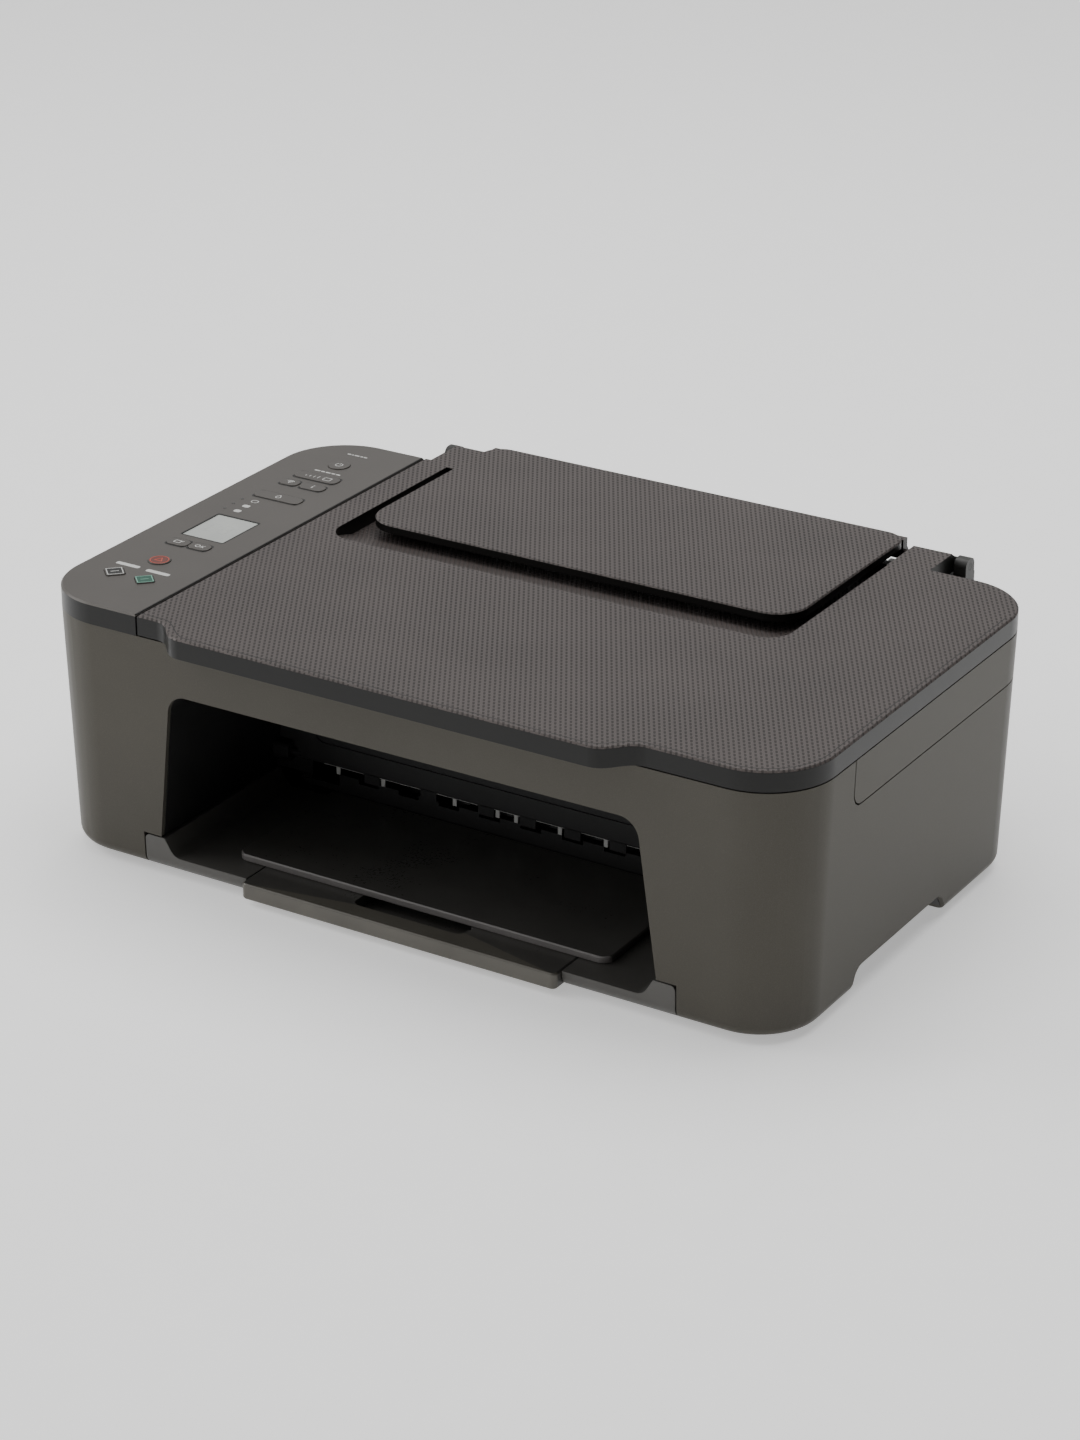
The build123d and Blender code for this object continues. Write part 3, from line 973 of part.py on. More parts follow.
def make_control_panel():
    """Control panel moulding with its openings and board posts."""
    plan = top_outline() & Pos((PANEL_EDGE - HALF - 5) / 2, 0) * Rectangle(PANEL_WIDTH + 5, OVERALL_DEPTH + 10)
    plan = plan & Pos(PANEL_MID - 2.5, (FRONT + REAR) / 2) * Rectangle(PANEL_WIDTH + 5, BODY_DEPTH + 1)
    solid = plate_xy(plan, LID_BASE - TOP_GAP, LID_TOP)
    solid = chamfer(edges_at(solid, Axis.Z, LID_TOP), 0.9)
    skin = LID_TOP - PANEL_SKIN
    inner = rounded_rect(-HALF + 2.4, PANEL_EDGE - 2.4, FRONT + 2.4, REAR - 2.4, 3.0)
    inner &= rounded_rect(-HALF + 2.4, HALF, FRONT + 2.4, REAR - 2.4, CORNER_RADIUS - 2.4)
    solid -= plate_xy(inner, LID_BASE - TOP_GAP - 1, skin)
    for name in BUTTONS:
        solid -= plate_xy(button_face(name, BUTTON_GAP), skin - 1, LID_TOP + 1)
    x0, x1, y0, y1 = DISPLAY
    solid -= block(x0, x1, y0, y1, skin - 1, LID_TOP + 1)
    for index in range(3):
        solid -= rod_z(skin - 1, LID_TOP + 1, LAMP_X, LAMP_Y + index * LAMP_STEP, LAMP_RADIUS + PRESS)
    for x, y in panel_posts():
        solid += rod_z(BOARD_LOW + BOARD_THICKNESS, skin + 0.5, x, y, 2.6)
    return solid


def make_display_window():
    """Display with its window, set in the panel."""
    x0, x1, y0, y1 = DISPLAY
    solid = block(x0 + PRESS, x1 - PRESS, y0 + PRESS, y1 - PRESS, LID_TOP - 2.2, LID_TOP - 0.3)
    return solid + block(x0 + 3, x1 - 3, y0 + 3, y1 - 3, BOARD_LOW + BOARD_THICKNESS, LID_TOP - 2.2)


def make_status_lamps():
    """Three light guides joined by a strip under the panel."""
    skin = LID_TOP - PANEL_SKIN
    y1 = LAMP_Y + 2 * LAMP_STEP
    solid = block(LAMP_X - 1.5, LAMP_X + 1.5, LAMP_Y - 2, y1 + 2, skin - 1.5, skin)
    for index in range(3):
        solid += rod_z(skin - 1, LID_TOP + 0.1, LAMP_X, LAMP_Y + index * LAMP_STEP, LAMP_RADIUS)
    return solid


def make_panel_board():
    """Circuit board under the control panel."""
    face = rounded_rect(-HALF + 8, PANEL_EDGE - 4, FRONT + 30, REAR - 26, 3.0)
    return plate_xy(face, BOARD_LOW, BOARD_LOW + BOARD_THICKNESS)


# ---------------------------------------------------------------- electronics
def make_main_board():
    """Main circuit board, upright behind the left end of the rail."""
    y = REAR - 16.0
    solid = block(-HALF + 24, -PAPER_PORT_HALF - 8, y, y + 1.6, FLOOR_TOP + 2.0, SKIRT_BASE - 14)
    for index in range(4):
        x = -HALF + 32 + index * 14.0
        solid += block(x, x + 10, y - 4.0, y, 40.0 + 6 * (index % 2), 52.0 + 6 * (index % 2))
    return solid


def make_power_supply():
    """Closed power supply box on the floor."""
    solid = block(PAPER_PORT_HALF + 8, HALF - 22, REAR - 46, REAR - 12, FLOOR_TOP + 2.0, FLOOR_TOP + 44)
    return fillet(solid.edges().filter_by(Axis.Z), 2.0)


# ---------------------------------------------------------------- all parts
def build_parts():
    """Every sub-part by name."""
    parts = {
        "main_casing": make_main_casing(), "base_chassis": make_base_chassis(),
        "rubber_feet": make_rubber_feet(), "bay_liner": make_bay_liner(),
        "front_sill": make_front_sill(), "cartridge_cover": make_cartridge_cover(),
        "output_tray": make_output_tray(), "tray_extension": make_tray_extension(),
        "print_platen": make_print_platen(), "feed_roller": make_feed_roller(),
        "output_roller": make_output_roller(), "idler_gear": make_idler_gear(),
        "motor_pinion": make_motor_pinion(), "feed_motor": make_feed_motor(),
        "pinch_rollers": make_pinch_rollers(), "star_wheels": make_star_wheels(),
        "exit_guide": make_exit_guide(), "star_wheel_holder": make_star_wheel_holder(),
        "carriage_rail": make_carriage_rail(), "carriage_belt": make_carriage_belt(),
        "drive_pulley": make_drive_pulley(), "idler_pulley": make_idler_pulley(),
        "carriage_motor": make_carriage_motor(), "carriage": make_carriage(),
        "cartridge_black": make_cartridge_black(), "cartridge_color": make_cartridge_color(),
        "capping_station": make_capping_station(), "rear_housing": make_rear_housing(),
        "rear_screws": make_rear_screws(), "power_inlet": make_power_inlet(),
        "usb_port": make_usb_port(), "paper_chute": make_paper_chute(),
        "pickup_roller": make_pickup_roller(), "lift_plate": make_lift_plate(),
        "paper_guide_left": make_paper_guide_left(), "paper_guide_right": make_paper_guide_right(),
        "guide_pinion": make_guide_pinion(), "scanner_housing": make_scanner_housing(),
        "platen_glass": make_platen_glass(), "scan_bar": make_scan_bar(),
        "document_lid": make_document_lid(), "lid_pressure_pad": make_lid_pressure_pad(),
        "paper_support": make_paper_support(), "control_panel": make_control_panel(),
        "display_window": make_display_window(), "status_lamps": make_status_lamps(),
        "panel_board": make_panel_board(), "main_board": make_main_board(),
        "power_supply": make_power_supply(),
    }
    for name in BUTTONS:
        parts[name] = make_button(name)
    return parts


os.makedirs("parts", exist_ok=True)
for name, shape in build_parts().items():
    solid = Compound(children=shape) if isinstance(shape, list) else shape
    export_step(solid, f"parts/{name}.step")
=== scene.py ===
import math

import bmesh
import bpy
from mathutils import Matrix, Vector


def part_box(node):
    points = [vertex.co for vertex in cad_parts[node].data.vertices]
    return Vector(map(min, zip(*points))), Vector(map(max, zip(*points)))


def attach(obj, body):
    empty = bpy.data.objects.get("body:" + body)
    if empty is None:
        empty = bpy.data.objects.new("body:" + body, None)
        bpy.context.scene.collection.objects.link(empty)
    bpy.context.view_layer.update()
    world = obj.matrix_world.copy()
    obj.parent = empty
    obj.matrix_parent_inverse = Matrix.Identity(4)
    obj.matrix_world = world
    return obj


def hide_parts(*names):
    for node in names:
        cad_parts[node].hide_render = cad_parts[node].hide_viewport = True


bl_info = {
    "name": "Compact inkjet printer",
    "version": (1, 0, 0),
    "blender": (4, 5, 0),
    "location": "3D View > Sidebar > Printer",
    "description": "Builds the looks of a compact all-in-one printer around its fixed frame",
    "category": "Object",
}

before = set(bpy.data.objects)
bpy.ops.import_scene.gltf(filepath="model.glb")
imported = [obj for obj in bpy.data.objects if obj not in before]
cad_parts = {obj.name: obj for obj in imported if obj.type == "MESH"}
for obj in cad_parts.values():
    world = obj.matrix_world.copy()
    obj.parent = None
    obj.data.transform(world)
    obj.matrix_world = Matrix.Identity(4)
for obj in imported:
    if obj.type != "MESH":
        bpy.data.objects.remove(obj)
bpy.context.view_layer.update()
MM = 0.001
SKIN = 0.5 * MM      # depth of a moulding's top layer, above its side band
FLANGES = 1.8 * MM   # both hidden rims of a button together
LID_LOW, LID_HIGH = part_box("document_lid")
PANEL_LOW, PANEL_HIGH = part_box("control_panel")
CASE_LOW, CASE_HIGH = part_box("main_casing")


# ---------------------------------------------------------------- sizes and colours a user may change
class PrinterFinish(bpy.types.PropertyGroup):
    """Colours and surface grain of the mouldings."""

    casing_color: bpy.props.FloatVectorProperty(
        name="Casing colour", description="Base colour of the outer casing", subtype="COLOR",
        size=3, min=0.0, max=1.0, default=(0.076, 0.071, 0.060))
    lid_color: bpy.props.FloatVectorProperty(
        name="Lid colour", description="Base colour of the lid and the paper support", subtype="COLOR",
        size=3, min=0.0, max=1.0, default=(0.053, 0.043, 0.040))
    panel_color: bpy.props.FloatVectorProperty(
        name="Panel colour", description="Base colour of the control panel", subtype="COLOR",
        size=3, min=0.0, max=1.0, default=(0.086, 0.078, 0.070))
    trim_color: bpy.props.FloatVectorProperty(
        name="Dark trim colour", description="Base colour of the sill, tray and feeder", subtype="COLOR",
        size=3, min=0.0, max=1.0, default=(0.026, 0.025, 0.023))
    dash_pitch: bpy.props.FloatProperty(
        name="Dash pitch", description="Distance between rows of dashes on the lid", unit="LENGTH",
        default=0.0024, min=0.001, max=0.01)
    dash_depth: bpy.props.FloatProperty(
        name="Dash depth", description="Depth of the lid's embossed dashes", unit="LENGTH",
        default=0.00026, min=0.0, max=0.001)


class PrinterMarks(bpy.types.PropertyGroup):
    """Printed marks on the control panel."""

    line_width: bpy.props.FloatProperty(
        name="Line width", description="Width of a printed line", unit="LENGTH",
        default=0.00045, min=0.0001, max=0.002)
    ink_height: bpy.props.FloatProperty(
        name="Ink height", description="Thickness of the printed ink", unit="LENGTH",
        default=0.00005, min=0.00001, max=0.0005)


class PrinterDetail(bpy.types.PropertyGroup):
    """Sizes of the small repeated details."""

    edge_round: bpy.props.FloatProperty(
        name="Edge rounding", description="Radius on the edges of the outer mouldings", unit="LENGTH",
        default=0.00045, min=0.0001, max=0.002)
    slat_pitch: bpy.props.FloatProperty(
        name="Slat pitch", description="Distance between the feeder's ribs", unit="LENGTH",
        default=0.009, min=0.003, max=0.03)
    tab_width: bpy.props.FloatProperty(
        name="Tab width", description="Width of one exit tab", unit="LENGTH",
        default=0.0052, min=0.002, max=0.02)


# ---------------------------------------------------------------- node material helpers
def new_material(name):
    """Node material with a Principled shader; returns material, tree and shader."""
    material = bpy.data.materials.new(name)
    material.use_nodes = True
    tree = material.node_tree
    return material, tree, tree.nodes["Principled BSDF"]


def math_node(tree, operation, first, second=None):
    """Math node whose inputs are sockets or numbers."""
    node = tree.nodes.new("ShaderNodeMath")
    node.operation = operation
    for index, value in enumerate((first, second)):
        if value is None:
            continue
        if isinstance(value, (int, float)):
            node.inputs[index].default_value = value
        else:
            tree.links.new(value, node.inputs[index])
    return node.outputs[0]


def noise(tree, vector, scale, detail=3.0, rough=0.6):
    """Noise value socket."""
    node = tree.nodes.new("ShaderNodeTexNoise")
    node.inputs["Scale"].default_value = scale
    node.inputs["Detail"].default_value = detail
    node.inputs["Roughness"].default_value = rough
    tree.links.new(vector, node.inputs["Vector"])
    return node.outputs["Fac"]


def object_coords(tree, turn=0.0):
    """Object coordinates, turned about Z by an angle in radians."""
    coords = tree.nodes.new("ShaderNodeTexCoord").outputs["Object"]
    if not turn:
        return coords
    mapping = tree.nodes.new("ShaderNodeMapping")
    mapping.inputs["Rotation"].default_value[2] = turn
    tree.links.new(coords, mapping.inputs["Vector"])
    return mapping.outputs["Vector"]


def ramp(tree, factor, dark, light, low=0.35, high=0.65):
    """Colour ramp between two colours."""
    node = tree.nodes.new("ShaderNodeValToRGB")
    node.color_ramp.elements[0].position = low
    node.color_ramp.elements[1].position = high
    node.color_ramp.elements[0].color = (*dark, 1.0)
    node.color_ramp.elements[1].color = (*light, 1.0)
    tree.links.new(factor, node.inputs["Fac"])
    return node.outputs["Color"]


def span(tree, factor, low, high):
    """Factor mapped from 0..1 to low..high."""
    node = tree.nodes.new("ShaderNodeMapRange")
    node.inputs["To Min"].default_value = low
    node.inputs["To Max"].default_value = high
    tree.links.new(factor, node.inputs["Value"])
    return node.outputs["Result"]


def bump(tree, shader, height, distance, strength=1.0):
    """Bump from a height socket onto the shader."""
    node = tree.nodes.new("ShaderNodeBump")
    node.inputs["Distance"].default_value = distance
    node.inputs["Strength"].default_value = strength
    tree.links.new(height, node.inputs["Height"])
    tree.links.new(node.outputs["Normal"], shader.inputs["Normal"])


def shades(color, spread):
    """Darker and lighter neighbour of a colour."""
    dark = tuple(channel * (1 - spread) for channel in color)
    light = tuple(min(1.0, channel * (1 + spread)) for channel in color)
    return dark, light


def moulded_plastic(name, color, rough=0.42, grain=900.0, depth=0.00006, spread=0.07, metallic=0.0, coat=0.0,
                    shine=0.5):
    """Moulded plastic: spark-eroded grain, faint blotches and uneven gloss."""
    material, tree, shader = new_material(name)
    coords = object_coords(tree)
    blotch = noise(tree, coords, 22.0, 4.0)
    fine = noise(tree, coords, grain, 2.0, 0.7)
    tree.links.new(ramp(tree, blotch, *shades(color, spread)), shader.inputs["Base Color"])
    gloss = math_node(tree, "MULTIPLY", math_node(tree, "ADD", blotch, fine), 0.5)
    tree.links.new(span(tree, gloss, rough - 0.06, rough + 0.08), shader.inputs["Roughness"])
    shader.inputs["Metallic"].default_value = metallic
    shader.inputs["Coat Weight"].default_value = coat
    shader.inputs["Coat Roughness"].default_value = 0.3
    shader.inputs["Specular IOR Level"].default_value = shine
    bump(tree, shader, fine, depth, 0.6)
    return material


def pearl_plastic(name, color):
    """Casing plastic with fine metal flakes under a satin surface."""
    material, tree, shader = new_material(name)
    coords = object_coords(tree)
    flakes = tree.nodes.new("ShaderNodeTexVoronoi")
    flakes.inputs["Scale"].default_value = 2600.0
    tree.links.new(coords, flakes.inputs["Vector"])
    blotch = noise(tree, coords, 9.0, 3.0)
    mixed = math_node(tree, "ADD", math_node(tree, "MULTIPLY", flakes.outputs["Distance"], 0.45),
                      math_node(tree, "MULTIPLY", blotch, 0.6))
    tree.links.new(ramp(tree, mixed, *shades(color, 0.13), 0.25, 0.75), shader.inputs["Base Color"])
    tree.links.new(span(tree, blotch, 0.36, 0.46), shader.inputs["Roughness"])
    shader.inputs["Metallic"].default_value = 0.2
    shader.inputs["Specular IOR Level"].default_value = 0.12
    bump(tree, shader, noise(tree, coords, 1400.0, 2.0), 0.00003, 0.5)
    return material


def dashed_plastic(name, color, pitch, depth):
    """Lid plastic with staggered rows of small sunk dashes."""
    material, tree, shader = new_material(name)
    coords = object_coords(tree, math.radians(-31.0))
    axes = tree.nodes.new("ShaderNodeSeparateXYZ")
    tree.links.new(coords, axes.inputs["Vector"])
    across = math_node(tree, "DIVIDE", axes.outputs["X"], pitch)
    row = math_node(tree, "FLOOR", across)
    stagger = math_node(tree, "MULTIPLY", math_node(tree, "MODULO", row, 2.0), 0.5)
    along = math_node(tree, "ADD", math_node(tree, "DIVIDE", axes.outputs["Y"], pitch * 1.55), stagger)
    side = math_node(tree, "SUBTRACT", math_node(tree, "FRACT", across), 0.5)
    length = math_node(tree, "SUBTRACT", math_node(tree, "FRACT", along), 0.5)
    ring = math_node(tree, "ADD", math_node(tree, "POWER", math_node(tree, "MULTIPLY", side, 3.3), 2.0),
                     math_node(tree, "POWER", math_node(tree, "MULTIPLY", length, 2.25), 4.0))
    dash = tree.nodes.new("ShaderNodeMapRange")
    dash.interpolation_type = "SMOOTHSTEP"
    dash.inputs["From Min"].default_value = 1.0
    dash.inputs["From Max"].default_value = 0.25
    tree.links.new(ring, dash.inputs["Value"])
    sunk = dash.outputs["Result"]
    blotch = noise(tree, coords, 14.0, 4.0)
    # Painted shade: the sunk dashes are coloured darker, standing for the shade in their pits; the blotches
    # are random tone.
    pit_shade_and_blotch = math_node(tree, "ADD", math_node(tree, "MULTIPLY", sunk, 0.55),
                     math_node(tree, "MULTIPLY", blotch, 0.45))
    dark, light = shades(color, 0.5)
    tree.links.new(ramp(tree, pit_shade_and_blotch, light, dark, 0.15, 0.85), shader.inputs["Base Color"])
    tree.links.new(span(tree, sunk, 0.40, 0.62), shader.inputs["Roughness"])
    fine = math_node(tree, "MULTIPLY", noise(tree, coords, 1500.0, 2.0), 0.18)
    shader.inputs["Metallic"].default_value = 0.15
    bump(tree, shader, math_node(tree, "SUBTRACT", fine, sunk), depth, 0.9)
    return material


def rubber_finish(name):
    """Matte black rubber with a chalky bloom."""
    material, tree, shader = new_material(name)
    coords = object_coords(tree)
    tree.links.new(ramp(tree, noise(tree, coords, 60.0), (0.012, 0.012, 0.012), (0.035, 0.034, 0.033)),
                   shader.inputs["Base Color"])
    tree.links.new(span(tree, noise(tree, coords, 200.0), 0.72, 0.9), shader.inputs["Roughness"])
    bump(tree, shader, noise(tree, coords, 1200.0), 0.00008, 0.7)
    return material


def steel_finish(name, color, rough=0.3, stretch=(4.0, 260.0, 260.0)):
    """Drawn metal with fine lines along X."""
    material, tree, shader = new_material(name)
    mapping = tree.nodes.new("ShaderNodeMapping")
    mapping.inputs["Scale"].default_value = stretch
    tree.links.new(object_coords(tree), mapping.inputs["Vector"])
    lines = noise(tree, mapping.outputs["Vector"], 6.0, 4.0)
    tree.links.new(ramp(tree, lines, *shades(color, 0.12)), shader.inputs["Base Color"])
    tree.links.new(span(tree, lines, rough - 0.08, rough + 0.12), shader.inputs["Roughness"])
    shader.inputs["Metallic"].default_value = 1.0
    bump(tree, shader, lines, 0.00002, 0.4)
    return material


def clear_glass(name):
    """Clear platen glass with faint dust."""
    material, tree, shader = new_material(name)
    dust = noise(tree, object_coords(tree), 90.0, 5.0)
    tree.links.new(span(tree, dust, 0.02, 0.07), shader.inputs["Roughness"])
    tree.links.new(ramp(tree, dust, (0.80, 0.87, 0.84), (0.88, 0.93, 0.90)), shader.inputs["Base Color"])
    shader.inputs["Transmission Weight"].default_value = 0.95
    shader.inputs["IOR"].default_value = 1.5
    return material


def display_finish(name):
    """Unlit segment display: grey-green cell under a clear front."""
    material, tree, shader = new_material(name)
    coords = object_coords(tree)
    cell = noise(tree, coords, 35.0, 2.0)
    tree.links.new(ramp(tree, cell, (0.40, 0.42, 0.40), (0.50, 0.52, 0.49), 0.2, 0.8),
                   shader.inputs["Base Color"])
    tree.links.new(span(tree, noise(tree, coords, 300.0), 0.16, 0.24), shader.inputs["Roughness"])
    shader.inputs["Coat Weight"].default_value = 0.6
    return material


def board_finish(name):
    """Green solder mask with copper tracks showing through."""
    material, tree, shader = new_material(name)
    brick = tree.nodes.new("ShaderNodeTexBrick")
    brick.inputs["Scale"].default_value = 130.0
    brick.inputs["Mortar Size"].default_value = 0.03
    brick.inputs["Color1"].default_value = (0.012, 0.085, 0.035, 1)
    brick.inputs["Color2"].default_value = (0.014, 0.10, 0.045, 1)
    brick.inputs["Mortar"].default_value = (0.04, 0.20, 0.09, 1)
    coords = object_coords(tree)
    tree.links.new(coords, brick.inputs["Vector"])
    tree.links.new(brick.outputs["Color"], shader.inputs["Base Color"])
    tree.links.new(span(tree, noise(tree, coords, 400.0), 0.25, 0.4), shader.inputs["Roughness"])
    bump(tree, shader, brick.outputs["Fac"], 0.00005, 0.5)
    return material


def floor_finish(name):
    """Plain pale paper-like floor."""
    material, tree, shader = new_material(name)
    grain = noise(tree, object_coords(tree), 40.0)
    tree.links.new(ramp(tree, grain, (0.93, 0.93, 0.925), (0.95, 0.95, 0.945)), shader.inputs["Base Color"])
    shader.inputs["Roughness"].default_value = 0.9
    shader.inputs["Specular IOR Level"].default_value = 0.1
    shader.inputs["Emission Color"].default_value = (1.0, 1.0, 1.0, 1.0)
    shader.inputs["Emission Strength"].default_value = 0.45
    return material


# ---------------------------------------------------------------- mesh helpers
def object_from(bm, name, material):
    """Linked object made from a bmesh, with one material."""
    mesh = bpy.data.meshes.new(name)
    bm.to_mesh(mesh)
    bm.free()
    obj = bpy.data.objects.new(name, mesh)
    bpy.context.scene.collection.objects.link(obj)
    obj.data.materials.append(material)
    return obj


def smooth(obj, degrees=32.0):
    """Smooth shading with sharp edges past an angle."""
    for polygon in obj.data.polygons:
        polygon.use_smooth = True
    obj.data.set_sharp_from_angle(angle=math.radians(degrees))


def refined(node, name, material, width, body):
    """Merged and softly edged copy of a CAD node that takes its place."""
    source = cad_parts[node]
    bm = bmesh.new()
    bm.from_mesh(source.data)
    bmesh.ops.remove_doubles(bm, verts=bm.verts, dist=2e-6)
    bmesh.ops.dissolve_limit(bm, angle_limit=math.radians(0.6), verts=bm.verts, edges=bm.edges)
    obj = object_from(bm, name, material)
    if width:
        bevel = obj.modifiers.new("Soft edges", "BEVEL")
        bevel.width = width
        bevel.segments = 2
        bevel.limit_method = "ANGLE"
        bevel.angle_limit = math.radians(40.0)
        bevel.use_clamp_overlap = True
        apply_modifiers(obj)
    smooth(obj)
    even = obj.modifiers.new("Even shading", "WEIGHTED_NORMAL")
    even.keep_sharp = True
    even.weight = 80
    apply_modifiers(obj)
    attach(obj, body)
    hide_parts(node)
    return obj


def apply_modifiers(obj):
    """Replace the mesh by its evaluated result and drop the modifiers."""
    bpy.context.view_layer.update()
    graph = bpy.context.evaluated_depsgraph_get()
    mesh = bpy.data.meshes.new_from_object(obj.evaluated_get(graph))
    obj.modifiers.clear()
    obj.data = mesh


def ribbon(bm, points, width, low, high, closed=False):
    """Flat raised line along points in plan."""
    count = len(points)
    left, right = [], []
    for index, point in enumerate(points):
        before = points[(index - 1) % count] if closed or index else point
        after = points[(index + 1) % count] if closed or index < count - 1 else point
        first = Vector(point) - Vector(before)
        second = Vector(after) - Vector(point)
        if first.length < 1e-9:
            first = second
        if second.length < 1e-9:
            second = first
        first.normalize()
        second.normalize()
        mitre = first + second
        mitre = mitre.normalized() if mitre.length > 1e-6 else first
        normal = Vector((-mitre.y, mitre.x))
        reach = width / 2 / max(0.35, normal.dot(Vector((-second.y, second.x))))
        left.append(Vector(point) + normal * reach)
        right.append(Vector(point) - normal * reach)
    rings = []
    for a, b in zip(left, right):
        rings.append([bm.verts.new((a.x, a.y, low)), bm.verts.new((b.x, b.y, low)),
                      bm.verts.new((b.x, b.y, high)), bm.verts.new((a.x, a.y, high))])
    last = count if closed else count - 1
    for index in range(last):
        here, there = rings[index], rings[(index + 1) % count]
        for side in range(4):
            turn = (side + 1) % 4
            bm.faces.new((here[side], here[turn], there[turn], there[side]))
    if not closed:
        bm.faces.new(rings[0][::-1])
        bm.faces.new(rings[-1])


def patch(bm, points, low, high):
    """Raised filled shape in plan."""
    bottom = [bm.verts.new((x, y, low)) for x, y in points]
    top = [bm.verts.new((x, y, high)) for x, y in points]
    bm.faces.new(bottom[::-1])
    bm.faces.new(top)
    count = len(points)
    for index in range(count):
        after = (index + 1) % count
        bm.faces.new((bottom[index], bottom[after], top[after], top[index]))


def arc(centre, radius, start, end, steps=24):
    """Points on an arc, angles in degrees."""
    angles = [math.radians(start + (end - start) * step / steps) for step in range(steps + 1)]
    return [(centre[0] + radius * math.cos(a), centre[1] + radius * math.sin(a)) for a in angles]


def circle(centre, radius, steps=32):
    """Points on a full circle."""
    return arc(centre, radius, 0, 360, steps)[:-1]


def rounded(centre, width, depth, radius, steps=5):
    """Points of a rounded rectangle in plan."""
    x, y = width / 2 - radius, depth / 2 - radius
    points = []
    for sx, sy, start in ((1, 1, 0), (-1, 1, 90), (-1, -1, 180), (1, -1, 270)):
        points += arc((centre[0] + sx * x, centre[1] + sy * y), radius, start, start + 90, steps)
    return points


def finish_bmesh(bm, name, material, body):
    """Recalculate normals, make the object and let it ride."""
    bmesh.ops.recalc_face_normals(bm, faces=bm.faces)
    obj = object_from(bm, name, material)
    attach(obj, body)
    return obj


# ---------------------------------------------------------------- geometry nodes
def bar_row_tree():
    """Row of identical rounded bars: count, step, size and corner are inputs."""
    tree = bpy.data.node_groups.new("Bar row", "GeometryNodeTree")
    face = tree.interface
    for label, kind in (("Count", "Int"), ("Start", "Vector"), ("Step", "Vector"), ("Width", "Float"),
                        ("Length", "Float"), ("Height", "Float"), ("Corner", "Float"), ("Tilt", "Vector"),
                        ("Finish", "Material")):
        face.new_socket(name=label, in_out="INPUT", socket_type="NodeSocket" + kind)
    face.new_socket(name="Geometry", in_out="OUTPUT", socket_type="NodeSocketGeometry")
    nodes, links = tree.nodes, tree.links
    given, result = nodes.new("NodeGroupInput"), nodes.new("NodeGroupOutput")
    line = nodes.new("GeometryNodeMeshLine")
    line.mode = "OFFSET"
    links.new(given.outputs["Count"], line.inputs["Count"])
    links.new(given.outputs["Start"], line.inputs["Start Location"])
    links.new(given.outputs["Step"], line.inputs["Offset"])
    quad = nodes.new("GeometryNodeCurvePrimitiveQuadrilateral")
    links.new(given.outputs["Width"], quad.inputs["Width"])
    links.new(given.outputs["Length"], quad.inputs["Height"])
    soft = nodes.new("GeometryNodeFilletCurve")
    soft.mode = "POLY"
    soft.inputs["Count"].default_value = 4
    links.new(quad.outputs["Curve"], soft.inputs["Curve"])
    links.new(given.outputs["Corner"], soft.inputs["Radius"])
    fill = nodes.new("GeometryNodeFillCurve")
    fill.mode = "NGONS"
    links.new(soft.outputs["Curve"], fill.inputs["Curve"])
    lift = nodes.new("GeometryNodeExtrudeMesh")
    links.new(fill.outputs["Mesh"], lift.inputs["Mesh"])
    links.new(given.outputs["Height"], lift.inputs["Offset Scale"])
    under = nodes.new("GeometryNodeFlipFaces")
    links.new(fill.outputs["Mesh"], under.inputs["Mesh"])
    both = nodes.new("GeometryNodeJoinGeometry")
    links.new(under.outputs["Mesh"], both.inputs["Geometry"])
    links.new(lift.outputs["Mesh"], both.inputs["Geometry"])
    weld = nodes.new("GeometryNodeMergeByDistance")
    weld.inputs["Distance"].default_value = 1e-6
    links.new(both.outputs["Geometry"], weld.inputs["Geometry"])
    place = nodes.new("GeometryNodeInstanceOnPoints")
    links.new(line.outputs["Mesh"], place.inputs["Points"])
    links.new(weld.outputs["Geometry"], place.inputs["Instance"])
    links.new(given.outputs["Tilt"], place.inputs["Rotation"])
    real = nodes.new("GeometryNodeRealizeInstances")
    links.new(place.outputs["Instances"], real.inputs["Geometry"])
    paint = nodes.new("GeometryNodeSetMaterial")
    links.new(real.outputs["Geometry"], paint.inputs["Geometry"])
    links.new(given.outputs["Finish"], paint.inputs["Material"])
    links.new(paint.outputs["Geometry"], result.inputs["Geometry"])
    return tree


def bar_row(name, body, slot, material, **values):
    """Plain mesh of a row of bars, made by the bar row tree."""
    tree = bpy.data.node_groups.get("Bar row") or bar_row_tree()
    obj = bpy.data.objects.new(name, bpy.data.meshes.new(name))
    bpy.context.scene.collection.objects.link(obj)
    modifier = obj.modifiers.new("Bars", "NODES")
    modifier.node_group = tree
    sockets = {item.name: item.identifier for item in tree.interface.items_tree if item.in_out == "INPUT"}
    for label, value in values.items():
        modifier[sockets[label]] = value
    modifier[sockets["Finish"]] = material
    apply_modifiers(obj)
    if not obj.data.polygons:
        raise RuntimeError(f"{name} came out empty")
    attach(obj, body)
    return obj


# ---------------------------------------------------------------- finishes
FINISH = {}


